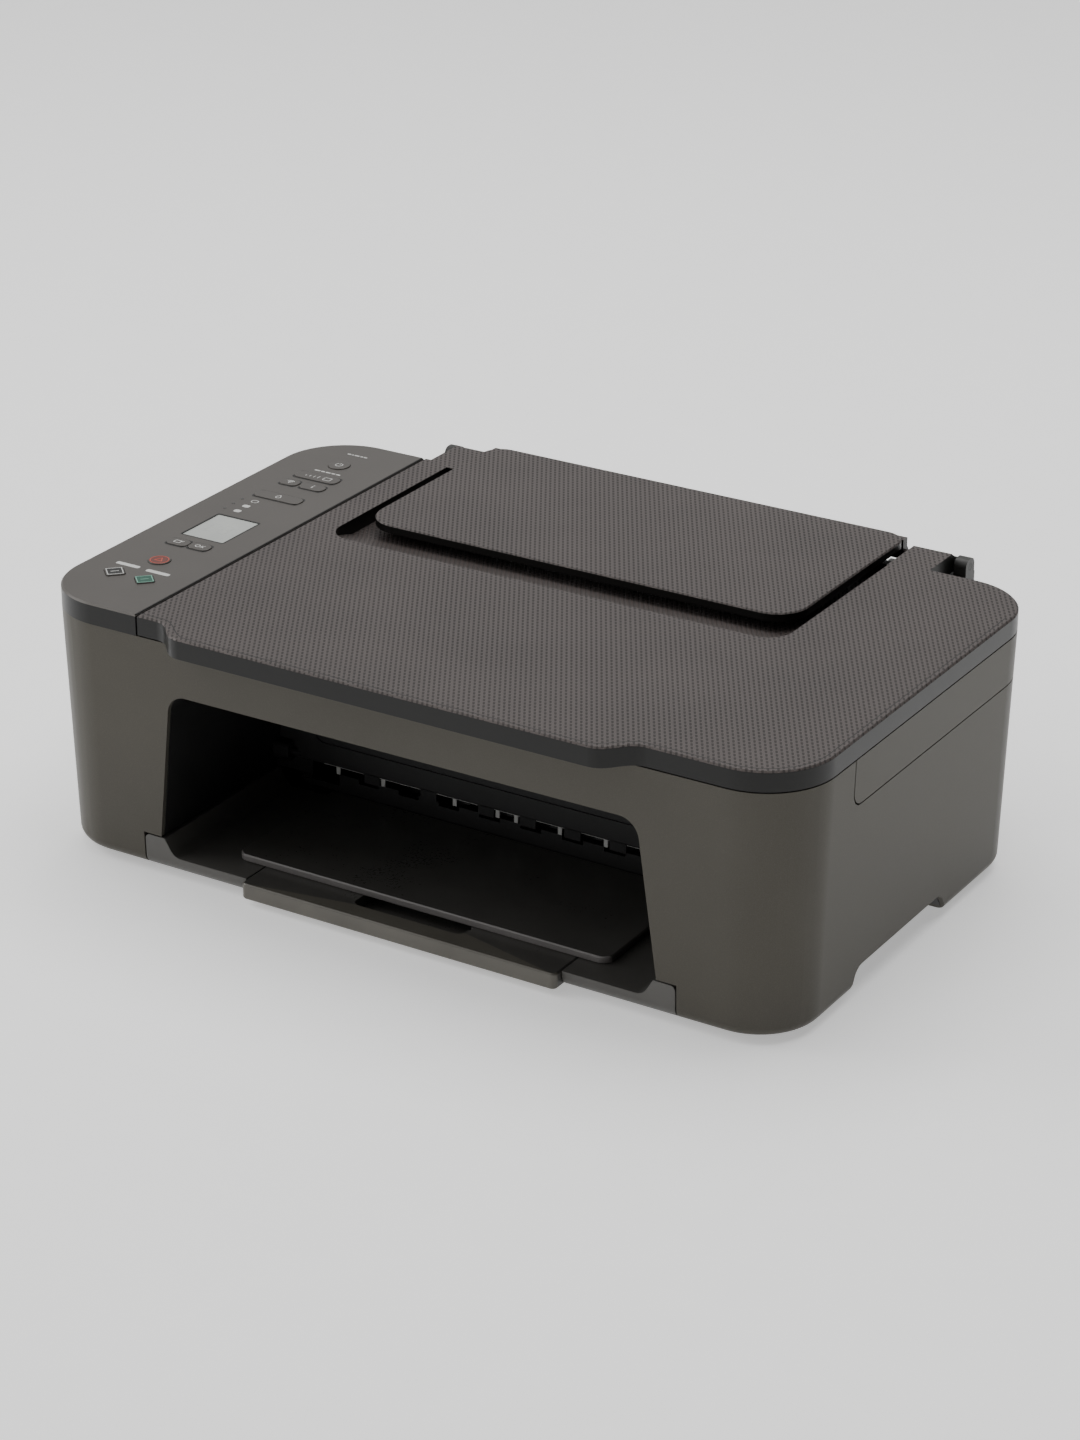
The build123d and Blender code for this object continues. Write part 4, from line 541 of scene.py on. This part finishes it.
def make_finishes(colors):
    """All materials of the printer, by plain name."""
    trim = tuple(colors.trim_color)
    FINISH["casing"] = pearl_plastic("Pearl casing", tuple(colors.casing_color))
    lid = tuple(colors.lid_color)
    FINISH["lid"] = dashed_plastic("Dashed lid", lid, colors.dash_pitch, colors.dash_depth)
    panel = tuple(colors.panel_color)
    FINISH["panel"] = moulded_plastic("Satin panel", panel, 0.40, 1100.0, 0.00003, 0.05, 0.2)
    button = tuple(c * 0.96 for c in colors.panel_color)
    FINISH["button"] = moulded_plastic("Satin button", button, 0.36, 1100.0, 0.00002, 0.05, 0.2)
    FINISH["trim"] = moulded_plastic("Dark trim", trim, 0.45, 800.0, 0.00005, 0.12, 0.0)
    # Painted highlight: a lighter colour for the tray extension's front-facing edge faces, standing for the
    # light they catch.
    FINISH["tongue_edge_highlight"] = moulded_plastic("Tongue edge painted highlight", (0.17, 0.16, 0.155), 0.35, 800.0, 0.00003, 0.08)
    FINISH["grip"] = moulded_plastic("Tray grip", tuple(c * 1.5 for c in colors.casing_color), 0.34, 800.0,
                                     0.00004, 0.10, 0.1)
    FINISH["sill"] = moulded_plastic("Sill", tuple(c * 3.2 for c in trim), 0.42, 800.0, 0.00005, 0.10, 0.15)
    FINISH["slab"] = moulded_plastic("Tray slab", tuple(c * 2.6 for c in trim), 0.28, 700.0,
                                     0.00004, 0.12, 0.1)
    # Black plastic of the inner parts, also used as painted shade on the faces of the seam between lid and
    # panel.
    FINISH["black"] = moulded_plastic("Black plastic and seam shade", (0.010, 0.010, 0.010), 0.5, 700.0, 0.00006, 0.2)
    FINISH["edge"] = moulded_plastic("Lid side band", (0.0060, 0.0058, 0.0052), 0.34, 900.0, 0.00003, 0.08,
                                     shine=0.28)
    FINISH["acetal"] = moulded_plastic("White acetal", (0.72, 0.71, 0.66), 0.38, 500.0, 0.00003, 0.04)
    FINISH["tabs"] = moulded_plastic("Pale tabs", (0.55, 0.55, 0.53), 0.35, 500.0, 0.00003, 0.05)
    FINISH["cartridge"] = moulded_plastic("Cartridge shell", (0.16, 0.16, 0.17), 0.35, 600.0, 0.00004, 0.08)
    FINISH["pad"] = moulded_plastic("White backing pad", (0.80, 0.80, 0.78), 0.65, 350.0, 0.0001, 0.03)
    FINISH["rubber"] = rubber_finish("Rubber")
    FINISH["steel"] = steel_finish("Drawn steel", (0.56, 0.56, 0.57))
    FINISH["brass"] = steel_finish("Turned brass", (0.68, 0.52, 0.24), 0.25)
    FINISH["glass"] = clear_glass("Platen glass")
    FINISH["display"] = display_finish("Display cell")
    FINISH["board"] = board_finish("Circuit board")
    FINISH["lamp"] = moulded_plastic("Smoked light guide", (0.045, 0.045, 0.042), 0.2, 400.0, 0.00001, 0.1)
    FINISH["white_ink"] = moulded_plastic("White ink", (0.62, 0.62, 0.60), 0.5, 1500.0, 0.00001, 0.06)
    FINISH["dark_red_ink"] = moulded_plastic("Dark red ink", (0.13, 0.030, 0.022), 0.45, 1500.0, 0.00001,
                                             0.08)
    FINISH["pale_green_ink"] = moulded_plastic("Pale green ink", (0.20, 0.42, 0.33), 0.45, 1500.0, 0.00001,
                                               0.06)
    FINISH["red_ink"] = moulded_plastic("Red ink", (0.55, 0.085, 0.05), 0.45, 1500.0, 0.00001, 0.08)
    FINISH["green_ink"] = moulded_plastic("Green ink", (0.012, 0.085, 0.055), 0.45, 1500.0, 0.00001, 0.08)
    # Dark finish for printed marks, also used as painted shade in the gaps round the buttons and along the
    # panel's seam.
    FINISH["dark_ink_and_gap_shade"] = moulded_plastic("Dark ink and gap shade", (0.012, 0.012, 0.011), 0.5, 1500.0, 0.00001, 0.1)


def paint(finish, *nodes):
    """Give carried-over CAD nodes a finish."""
    for node in nodes:
        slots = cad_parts[node].data.materials
        slots.clear()
        slots.append(FINISH[finish])
        flat_faces(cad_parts[node])


def flat_faces(obj):
    """Flat shading on a CAD node's faces; its points stay where they are."""
    for polygon in obj.data.polygons:
        polygon.use_smooth = False


def tint_faces(obj, finish, test):
    """Second finish on the faces whose centre and normal pass a test."""
    obj.data.materials.append(FINISH[finish])
    index = len(obj.data.materials) - 1
    for polygon in obj.data.polygons:
        if test(polygon.center, polygon.normal):
            polygon.material_index = index


# ---------------------------------------------------------------- operators
class PRINTER_OT_finishes(bpy.types.Operator):
    """Make the plastics, metals, rubber, glass and inks"""

    bl_idname = "printer.finishes"
    bl_label = "Finishes"

    def execute(self, context):
        make_finishes(context.scene.printer_finish)
        return {"FINISHED"}


class PRINTER_OT_casing(bpy.types.Operator):
    """Casing, scanner housing, chassis, feet, bay and sill"""

    bl_idname = "printer.casing"
    bl_label = "Casing"

    def execute(self, context):
        edge = context.scene.printer_detail.edge_round
        refined("main_casing", "casing_shell", FINISH["casing"], edge, "machine")
        refined("scanner_housing", "scanner_shell", FINISH["casing"], edge, "machine")
        refined("front_sill", "bay_sill", FINISH["sill"], edge, "machine")
        refined("bay_liner", "bay_walls", FINISH["black"], edge, "machine")
        paint("trim", "base_chassis")
        paint("rubber", "rubber_feet")
        return {"FINISHED"}


class PRINTER_OT_lid(bpy.types.Operator):
    """Scanner lid with its pressure pad, and the paper support"""

    bl_idname = "printer.lid"
    bl_label = "Lid and paper support"

    def execute(self, context):
        edge = context.scene.printer_detail.edge_round
        lid = refined("document_lid", "lid_shell", FINISH["lid"], edge * 0.6, "lid")
        top = LID_HIGH.z
        tint_faces(lid, "edge", lambda c, n: n.z < 0.5 and c.z < top - SKIN)
        # Painted shade: the lid's left face at the seam with the panel is coloured black, standing for the
        # shade in the gap.
        tint_faces(lid, "black", lambda c, n: n.x < -0.9 and c.x < LID_LOW.x + 1 * MM)
        support = refined("paper_support", "support_panel", FINISH["lid"], edge * 0.6, "support")
        tint_faces(support, "edge", lambda c, n: n.z < 0.5)
        paint("pad", "lid_pressure_pad")
        paint("glass", "platen_glass")
        self.inset_line()
        return {"FINISHED"}

    def inset_line(self):
        """Thin dark line that follows the lid's right and front edge."""
        inset, width, corner = 3.2 * MM, 0.5 * MM, 33.8 * MM
        top, right, left = LID_HIGH.z, LID_HIGH.x - inset, LID_LOW.x + 2 * MM
        front, rear = CASE_LOW.y + inset, CASE_HIGH.y - 2 * MM
        points = [(right, rear - 34 * MM)]
        points += arc((right - corner, front + corner), corner, 0, -90)
        lip, outer, inner = LID_LOW.y + inset, 137 * MM, 114 * MM
        points += s_curve((outer, front), (inner, lip))
        points += s_curve((-inner, lip), (-outer, front))
        points.append((left, front))
        bm = bmesh.new()
        ribbon(bm, points, width, top - 0.2 * MM, top + 0.02 * MM)
        finish_bmesh(bm, "lid_bead", FINISH["edge"], "lid")


def s_curve(start, end, steps=14):
    """Points on a smooth S between two places, level at both ends."""
    points = []
    for step in range(steps + 1):
        share = step / steps
        ease = share * share * (3 - 2 * share)
        points.append((start[0] + (end[0] - start[0]) * share, start[1] + (end[1] - start[1]) * ease))
    return points


class PRINTER_OT_panel(bpy.types.Operator):
    """Control panel, display, lamps, buttons, their printed marks and painted shade in the gaps round them
    """

    bl_idname = "printer.panel"
    bl_label = "Control panel"

    def execute(self, context):
        edge = context.scene.printer_detail.edge_round
        self.line = context.scene.printer_marks.line_width
        self.ink = context.scene.printer_marks.ink_height
        panel = refined("control_panel", "panel_shell", FINISH["panel"], edge * 0.6, "machine")
        top = PANEL_HIGH.z
        tint_faces(panel, "edge", lambda c, n: n.z < 0.5 and c.z < top - SKIN)
        # Painted shade: the panel's right face at the seam with the lid is coloured black, standing for the
        # shade in the gap.
        tint_faces(panel, "black", lambda c, n: n.x > 0.9 and c.x > PANEL_HIGH.x - 1 * MM)
        paint("display", "display_window")
        paint("lamp", "status_lamps")
        paint("board", "panel_board")
        for node in [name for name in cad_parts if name.startswith("button_")]:
            refined(node, node + "_cap", FINISH["button"], 0, node + "_cap")
        self.mark_buttons()
        self.mark_panel()
        self.gap_shade_lines()
        self.display_segments()
        return {"FINISHED"}

    def centre(self, node):
        """Middle of a node in plan."""
        low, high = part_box(node)
        return (low.x + high.x) / 2, (low.y + high.y) / 2

    def print_mark(self, node, suffix, finish, strokes=(), fills=(), width=None):
        """Printed mark on one button: stroked lines and filled shapes."""
        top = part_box(node)[1].z
        bm = bmesh.new()
        for points, closed in strokes:
            ribbon(bm, points, width or self.line, top - self.ink, top + self.ink, closed)
        for points in fills:
            patch(bm, points, top - self.ink, top + self.ink)
        name = node.replace("button_", "mark_") + suffix
        finish_bmesh(bm, name, FINISH[finish], node + "_cap")

    def mark_buttons(self):
        """Generic symbols on the ten buttons"""
        x, y = self.centre("button_power")
        ring, stem = arc((x, y), 2.0 * MM, 120, 420), [(x, y + 0.6 * MM), (x, y + 2.6 * MM)]
        self.print_mark("button_power", "", "white_ink", [(ring, False), (stem, False)])
        x, y = self.centre("button_wireless")
        square = rounded((x + 6.5 * MM, y), 4.4 * MM, 3.6 * MM, 0.6 * MM)
        bars = []
        for step in range(4):
            bar_x = x - 7 * MM + 2.6 * MM * step
            bars.append(([(bar_x, y - 1.3 * MM), (bar_x, y + (0.1 + 0.5 * step) * MM)], False))
        self.print_mark("button_wireless", "", "white_ink", [(square, True)] + bars)
        x, y = self.centre("button_left")
        source = (x, y - 1.2 * MM)
        waves = [(arc(source, radius * MM, 45, 135, 8), False) for radius in (1.2, 2.2, 3.2)]
        self.print_mark("button_left", "", "white_ink", waves, [circle(source, 0.45 * MM, 12)])
        x, y = self.centre("button_right")
        self.print_mark("button_right", "", "white_ink", [([(x, y - 1.5 * MM), (x, y + 0.6 * MM)], False)],
                        [circle((x, y + 1.7 * MM), 0.4 * MM, 12)], 0.7 * MM)
        x, y = self.centre("button_mode")
        drop = [(x, y + 2.1 * MM)] + arc((x, y - 0.4 * MM), 1.4 * MM, 150, 390, 16)
        self.print_mark("button_mode", "", "white_ink", [(drop, True)])
        x, y = self.centre("button_help")
        sheet = rounded((x - 0.6 * MM, y), 3.6 * MM, 2.8 * MM, 0.4 * MM)
        tick = [(x + 1.6 * MM, y + 0.6 * MM), (x + 2.6 * MM, y + 1.6 * MM)]
        self.print_mark("button_help", "", "white_ink", [(sheet, True), (tick, False)])
        x, y = self.centre("button_copies")
        ring = circle((x - 1.3 * MM, y), 1.3 * MM, 20)
        stem = [(x + 1.0 * MM, y - 1.3 * MM), (x + 1.0 * MM, y + 1.3 * MM)]
        hook = [(x + 2.8 * MM, y - 1.3 * MM), (x + 1.2 * MM, y), (x + 2.8 * MM, y + 1.3 * MM)]
        self.print_mark("button_copies", "", "white_ink", [(ring, True), (stem, False), (hook, False)])
        x, y = self.centre("button_stop")
        self.print_mark("button_stop", "_disc", "dark_red_ink", (), [circle((x, y), 5.3 * MM, 48)])
        triangle = [(x + 2.4 * MM * math.cos(math.radians(a)), y + 2.4 * MM * math.sin(math.radians(a)))
                    for a in (90, 210, 330)]
        ring = circle((x, y), 4.8 * MM, 48)
        self.overprint("button_stop", "_line", "red_ink", [(triangle, True), (ring, True)])
        for node, fill in (("button_start_black", "dark_ink_and_gap_shade"), ("button_start_color", "green_ink")):
            x, y = self.centre(node)
            face = self.diamond(x, y, 6.2 * MM)
            self.print_mark(node, "_face", fill, (), [face])
            stroke = [([(x - 1.5 * MM, y - 1.5 * MM), (x + 1.5 * MM, y + 1.5 * MM)], False)]
            line = "white_ink" if fill == "dark_ink_and_gap_shade" else "pale_green_ink"
            self.overprint(node, "_line", line, stroke + [(self.diamond(x, y, 5.6 * MM), True)])

    def overprint(self, node, suffix, finish, strokes):
        """Second print on top of a filled mark."""
        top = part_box(node)[1].z + self.ink
        bm = bmesh.new()
        for points, closed in strokes:
            ribbon(bm, points, self.line, top - self.ink, top + self.ink, closed)
        finish_bmesh(bm, node.replace("button_", "mark_") + suffix, FINISH[finish], node + "_cap")

    def diamond(self, x, y, half):
        """Points of a diamond."""
        return [(x + half, y), (x, y + half), (x - half, y), (x, y - half)]

    def mark_panel(self):
        """Label bars, lamp icons and short text-like dashes beside the buttons"""
        top = PANEL_HIGH.z
        bm = bmesh.new()
        for node in ("button_start_black", "button_start_color"):
            x, y = self.centre(node)
            patch(bm, rounded((x, y + 11.2 * MM), 14.5 * MM, 3.0 * MM, 1.2 * MM),
                  top - self.ink, top + self.ink)
        lamp_low, lamp_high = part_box("status_lamps")
        reach = (lamp_high.y - lamp_low.y) / 2 - 2 * MM
        middle, side = (lamp_low.y + lamp_high.y) / 2, lamp_high.x + 6.8 * MM
        for index in (-1, 0):
            patch(bm, rounded((side, middle + index * reach), 4.2 * MM, 3.4 * MM, 1.2 * MM),
                  top - self.ink, top + self.ink)
        ribbon(bm, rounded((side, middle + reach), 3.8 * MM, 3.2 * MM, 1.4 * MM), self.line, top - self.ink,
               top + self.ink, True)
        self.dashes(bm, self.centre("button_power"), 17.7 * MM, (2.2, 1.0, 3.0, 1.6, 2.0), top)
        self.dashes(bm, self.centre("button_wireless"), 9.6 * MM, (3.4, 2.4, 3.0, 2.2, 2.6), top)
        finish_bmesh(bm, "panel_marks", FINISH["white_ink"], "machine")
        bm = bmesh.new()
        low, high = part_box("display_window")
        frame_line = rounded(((low.x + high.x) / 2, (low.y + high.y) / 2), high.x - low.x + 1.0 * MM,
                             high.y - low.y + 1.0 * MM, 0.8 * MM)
        ribbon(bm, frame_line, 0.8 * MM, top - self.ink, top + self.ink, True)
        finish_bmesh(bm, "display_frame", FINISH["dark_ink_and_gap_shade"], "machine")

    def gap_shade_lines(self):
        """Painted shade: dark lines on the panel's top round every button and along the panel's seam, where
        the gaps fall in shade.
        """
        top, gap = PANEL_HIGH.z, 0.9 * MM
        bm = bmesh.new()
        for node in [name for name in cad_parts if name.startswith("button_")]:
            low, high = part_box(node)
            centre = ((low.x + high.x) / 2, (low.y + high.y) / 2)
            width, depth = high.x - low.x - FLANGES + gap, high.y - low.y - FLANGES + gap
            if node in ("button_power", "button_stop"):
                points = circle(centre, width / 2, 40)
            elif node.startswith("button_start"):
                points = self.diamond(*centre, width / 2 + 0.3 * MM)
            else:
                points = rounded(centre, width, depth, 1.7 * MM)
            ribbon(bm, points, gap, top - self.ink, top + self.ink, True)
        edge = PANEL_HIGH.x - 0.4 * MM
        seam = [(edge, PANEL_LOW.y + 1 * MM), (edge, PANEL_HIGH.y - 1 * MM)]
        ribbon(bm, seam, 0.7 * MM, top - self.ink, top + self.ink)
        finish_bmesh(bm, "button_gap_shade", FINISH["dark_ink_and_gap_shade"], "machine")

    def dashes(self, bm, place, ahead, lengths, top):
        """Row of short bars standing for a line of small print."""
        gap = 0.7 * MM
        total = sum(lengths) * MM + gap * (len(lengths) - 1)
        x, y = place[0] - total / 2, place[1] + ahead
        for length in lengths:
            ribbon(bm, [(x, y), (x + length * MM, y)], 1.2 * MM, top - self.ink, top + self.ink)
            x += length * MM + gap

    def display_segments(self):
        """Faint unlit segments of the display"""
        low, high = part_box("display_window")
        stroke, under, over = 0.7 * MM, high.z - 0.02 * MM, high.z + 0.03 * MM
        bm = bmesh.new()
        for column in (0.32, 0.62):
            x = low.x + (high.x - low.x) * column
            for row in (0, 1, 2):
                y = low.y + (high.y - low.y) * (0.34 + 0.16 * row)
                ribbon(bm, [(x - 2.0 * MM, y), (x + 2.0 * MM, y)], stroke, under, over)
            for side in (-2.6, 2.6):
                for row in (0, 1):
                    y = low.y + (high.y - low.y) * (0.42 + 0.16 * row)
                    bar = [(x + side * MM, y - 1.7 * MM), (x + side * MM, y + 1.7 * MM)]
                    ribbon(bm, bar, stroke, under, over)
        finish_bmesh(bm, "display_segments", FINISH["display"], "machine")


class PRINTER_OT_bay(bpy.types.Operator):
    """Output tray, extension, cartridge cover and the exit row of tabs"""

    bl_idname = "printer.bay"
    bl_label = "Output bay"

    def execute(self, context):
        edge = context.scene.printer_detail.edge_round
        tab = context.scene.printer_detail.tab_width
        tray = refined("output_tray", "tray_slab", FINISH["slab"], edge, "tray")
        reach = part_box("output_tray")[0].y + 12 * MM
        tint_faces(tray, "grip", lambda c, n: c.y < reach)
        tongue = refined("tray_extension", "tray_tongue", FINISH["slab"], edge * 0.6, "extension")
        # Painted highlight: the extension's front-facing edge faces get the lighter finish.
        tint_faces(tongue, "tongue_edge_highlight", lambda c, n: n.z < 0.9 and n.y < -0.3)
        refined("cartridge_cover", "cover_door", FINISH["black"], edge, "cover")
        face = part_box("star_wheel_holder")[0].y - 0.45 * MM
        for start, step, count in ((-105, 28, 2), (-33, 26, 2), (4, 26, 2), (57, 26, 3)):
            bar_row(f"exit_tabs_{abs(start)}", "machine", "dark_plastic", FINISH["tabs"], Count=count,
                    Start=(start * MM, face, 26.2 * MM), Step=(step * MM, 0, 0),
                    Width=tab * 0.45, Length=0.7 * MM, Height=4.0 * MM, Corner=0.2 * MM)
        for start, step, count in ((-84, 35, 3), (11, 26.5, 4)):
            bar_row(f"exit_blocks_{abs(start)}", "machine", "black_plastic", FINISH["black"], Count=count,
                    Start=(start * MM, face, 25.4 * MM), Step=(step * MM, 0, 0),
                    Width=tab * 1.9, Length=0.85 * MM, Height=5.8 * MM, Corner=0.3 * MM)
        bar_row("exit_line", "machine", "dark_plastic", FINISH["tabs"], Count=1,
                Start=(0, face + 0.15 * MM, 30.1 * MM), Step=(0, 0, 0),
                Width=228 * MM, Length=0.5 * MM, Height=0.7 * MM, Corner=0.1 * MM)
        return {"FINISHED"}


class PRINTER_OT_feeder(bpy.types.Operator):
    """Rear feeder, paper guides, lift plate, sockets and screws"""

    bl_idname = "printer.feeder"
    bl_label = "Rear feeder"

    def execute(self, context):
        edge = context.scene.printer_detail.edge_round
        pitch = context.scene.printer_detail.slat_pitch
        refined("rear_housing", "feeder_shell", FINISH["trim"], edge, "machine")
        paint("slab", "paper_guide_left", "paper_guide_right")
        paint("trim", "lift_plate")
        paint("acetal", "guide_pinion")
        paint("rubber", "pickup_roller")
        paint("black", "paper_chute", "power_inlet")
        paint("steel", "rear_screws", "usb_port")
        low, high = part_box("rear_housing")
        span = high.x - low.x - 90 * MM
        count = int(span / pitch)
        bar_row("feeder_vents", "machine", "dark_plastic", FINISH["black"], Count=count,
                Start=(-(count - 1) * pitch / 2, high.y - 0.35 * MM, 72 * MM), Step=(pitch, 0, 0),
                Width=pitch * 0.45, Length=0.5 * MM, Height=14 * MM, Corner=0.2 * MM)
        return {"FINISHED"}


class PRINTER_OT_mechanism(bpy.types.Operator):
    """Rollers, gears, carriage, cartridges, scanner bar and boards"""

    bl_idname = "printer.mechanism"
    bl_label = "Mechanism"

    def execute(self, context):
        paint("black", "print_platen", "star_wheel_holder", "carriage", "cartridge_black", "scan_bar",
              "exit_guide", "capping_station")
        paint("cartridge", "cartridge_color")
        paint("steel", "feed_roller", "feed_motor", "star_wheels", "carriage_rail", "carriage_motor",
              "power_supply")
        paint("acetal", "idler_gear", "pinch_rollers", "idler_pulley")
        paint("rubber", "output_roller", "carriage_belt")
        paint("brass", "motor_pinion", "drive_pulley")
        paint("board", "main_board")
        return {"FINISHED"}


CAMERA_PLACE = (0.9186, -1.5046, 0.8698)   # metres
CAMERA_YAW, CAMERA_PITCH = -31.799, -24.639   # degrees, from +Y and from the level
LENS, SENSOR_HEIGHT = 94.67, 36.0   # millimetres
CAMERA_SHIFT = (0.0093, 0.0072)
SKY_LEFT, SKY_RIGHT = 0.66, 0.05   # strength of the surrounding light on the two sides


class PRINTER_OT_stage(bpy.types.Operator):
    """Pale floor, soft studio lights and the camera"""

    bl_idname = "printer.stage"
    bl_label = "Stage"

    def execute(self, context):
        self.floor()
        self.lights()
        self.camera(context)
        return {"FINISHED"}

    def floor(self):
        """Plain pale floor under the printer"""
        bm = bmesh.new()
        reach = 6.0
        corners = ((-reach, -reach), (reach, -reach), (reach, reach), (-reach, reach))
        bm.faces.new([bm.verts.new((x, y, 0)) for x, y in corners])
        ground = object_from(bm, "studio_floor", floor_finish("Studio floor"))

    def lights(self):
        """Large soft boxes over, in front and beside the printer"""
        world = bpy.data.worlds.new("Studio")
        world.use_nodes = True
        tree = world.node_tree
        background = tree.nodes["Background"]
        background.inputs["Color"].default_value = (1.0, 1.0, 1.0, 1.0)
        direction = tree.nodes.new("ShaderNodeTexCoord").outputs["Generated"]
        axes = tree.nodes.new("ShaderNodeSeparateXYZ")
        tree.links.new(direction, axes.inputs["Vector"])
        side = tree.nodes.new("ShaderNodeMapRange")
        side.interpolation_type = "SMOOTHSTEP"
        side.inputs["From Min"].default_value = -0.3
        side.inputs["From Max"].default_value = 0.5
        side.inputs["To Min"].default_value = SKY_LEFT
        side.inputs["To Max"].default_value = SKY_RIGHT
        tree.links.new(axes.outputs["X"], side.inputs["Value"])
        tree.links.new(side.outputs["Result"], background.inputs["Strength"])
        bpy.context.scene.world = world
        for name, place, size, power in (("Top light", (0.1, 0.5, 2.2), (2.2, 1.6), 36.0),
                                         ("Left light", (-1.8, -0.6, 1.3), (1.2, 1.4), 15.0),
                                         ("Right light", (2.0, -0.5, 1.1), (0.9, 1.4), 1.0)):
            lamp = bpy.data.lights.new(name, "AREA")
            lamp.shape = "RECTANGLE"
            lamp.size, lamp.size_y = size
            lamp.energy = power
            light = bpy.data.objects.new(name, lamp)
            light.location = place
            light.rotation_euler = (Vector((0, 0, 0.06)) - Vector(place)).to_track_quat("-Z", "Y").to_euler()
            bpy.context.scene.collection.objects.link(light)

    def camera(self, context):
        """Camera ahead of the printer's front right corner, looking down"""
        data = bpy.data.cameras.new("Camera")
        data.sensor_fit = "VERTICAL"
        data.sensor_height = SENSOR_HEIGHT
        data.lens = LENS
        data.shift_x, data.shift_y = CAMERA_SHIFT
        data.clip_start, data.clip_end = 0.1, 30.0
        data.dof.use_dof = False
        camera = bpy.data.objects.new("Camera", data)
        camera.location = CAMERA_PLACE
        yaw, pitch = math.radians(CAMERA_YAW), math.radians(CAMERA_PITCH)
        forward = Vector((math.sin(yaw) * math.cos(pitch), math.cos(yaw) * math.cos(pitch), math.sin(pitch)))
        camera.rotation_euler = forward.to_track_quat("-Z", "Y").to_euler()
        context.scene.collection.objects.link(camera)
        context.scene.camera = camera


# ---------------------------------------------------------------- sidebar and registration
class PRINTER_PT_sidebar(bpy.types.Panel):
    """Sizes, colours and building steps of the printer"""

    bl_idname = "PRINTER_PT_sidebar"
    bl_label = "Inkjet printer"
    bl_space_type = "VIEW_3D"
    bl_region_type = "UI"
    bl_category = "Printer"

    def draw(self, context):
        layout = self.layout
        for group, _ in SETTINGS:
            settings = getattr(context.scene, group)
            box = layout.box()
            for name in settings.__annotations__:
                box.prop(settings, name)
        for step in STEPS:
            layout.operator(step.bl_idname)


STEPS = (PRINTER_OT_finishes, PRINTER_OT_casing, PRINTER_OT_lid, PRINTER_OT_panel, PRINTER_OT_bay,
         PRINTER_OT_feeder, PRINTER_OT_mechanism, PRINTER_OT_stage)
SETTINGS = (("printer_finish", PrinterFinish), ("printer_marks", PrinterMarks),
            ("printer_detail", PrinterDetail))


def register():
    for name, settings in SETTINGS:
        bpy.utils.register_class(settings)
        setattr(bpy.types.Scene, name, bpy.props.PointerProperty(type=settings))
    for step in STEPS:
        bpy.utils.register_class(step)
    bpy.utils.register_class(PRINTER_PT_sidebar)


def unregister():
    bpy.utils.unregister_class(PRINTER_PT_sidebar)
    for step in reversed(STEPS):
        bpy.utils.unregister_class(step)
    for name, settings in reversed(SETTINGS):
        delattr(bpy.types.Scene, name)
        bpy.utils.unregister_class(settings)


def main():
    """Build the printer step by step."""
    register()
    operators = bpy.ops.printer
    operators.finishes()
    operators.casing()
    operators.lid()
    operators.panel()
    operators.bay()
    operators.feeder()
    operators.mechanism()
    operators.stage()


if __name__ == "__main__":
    main()
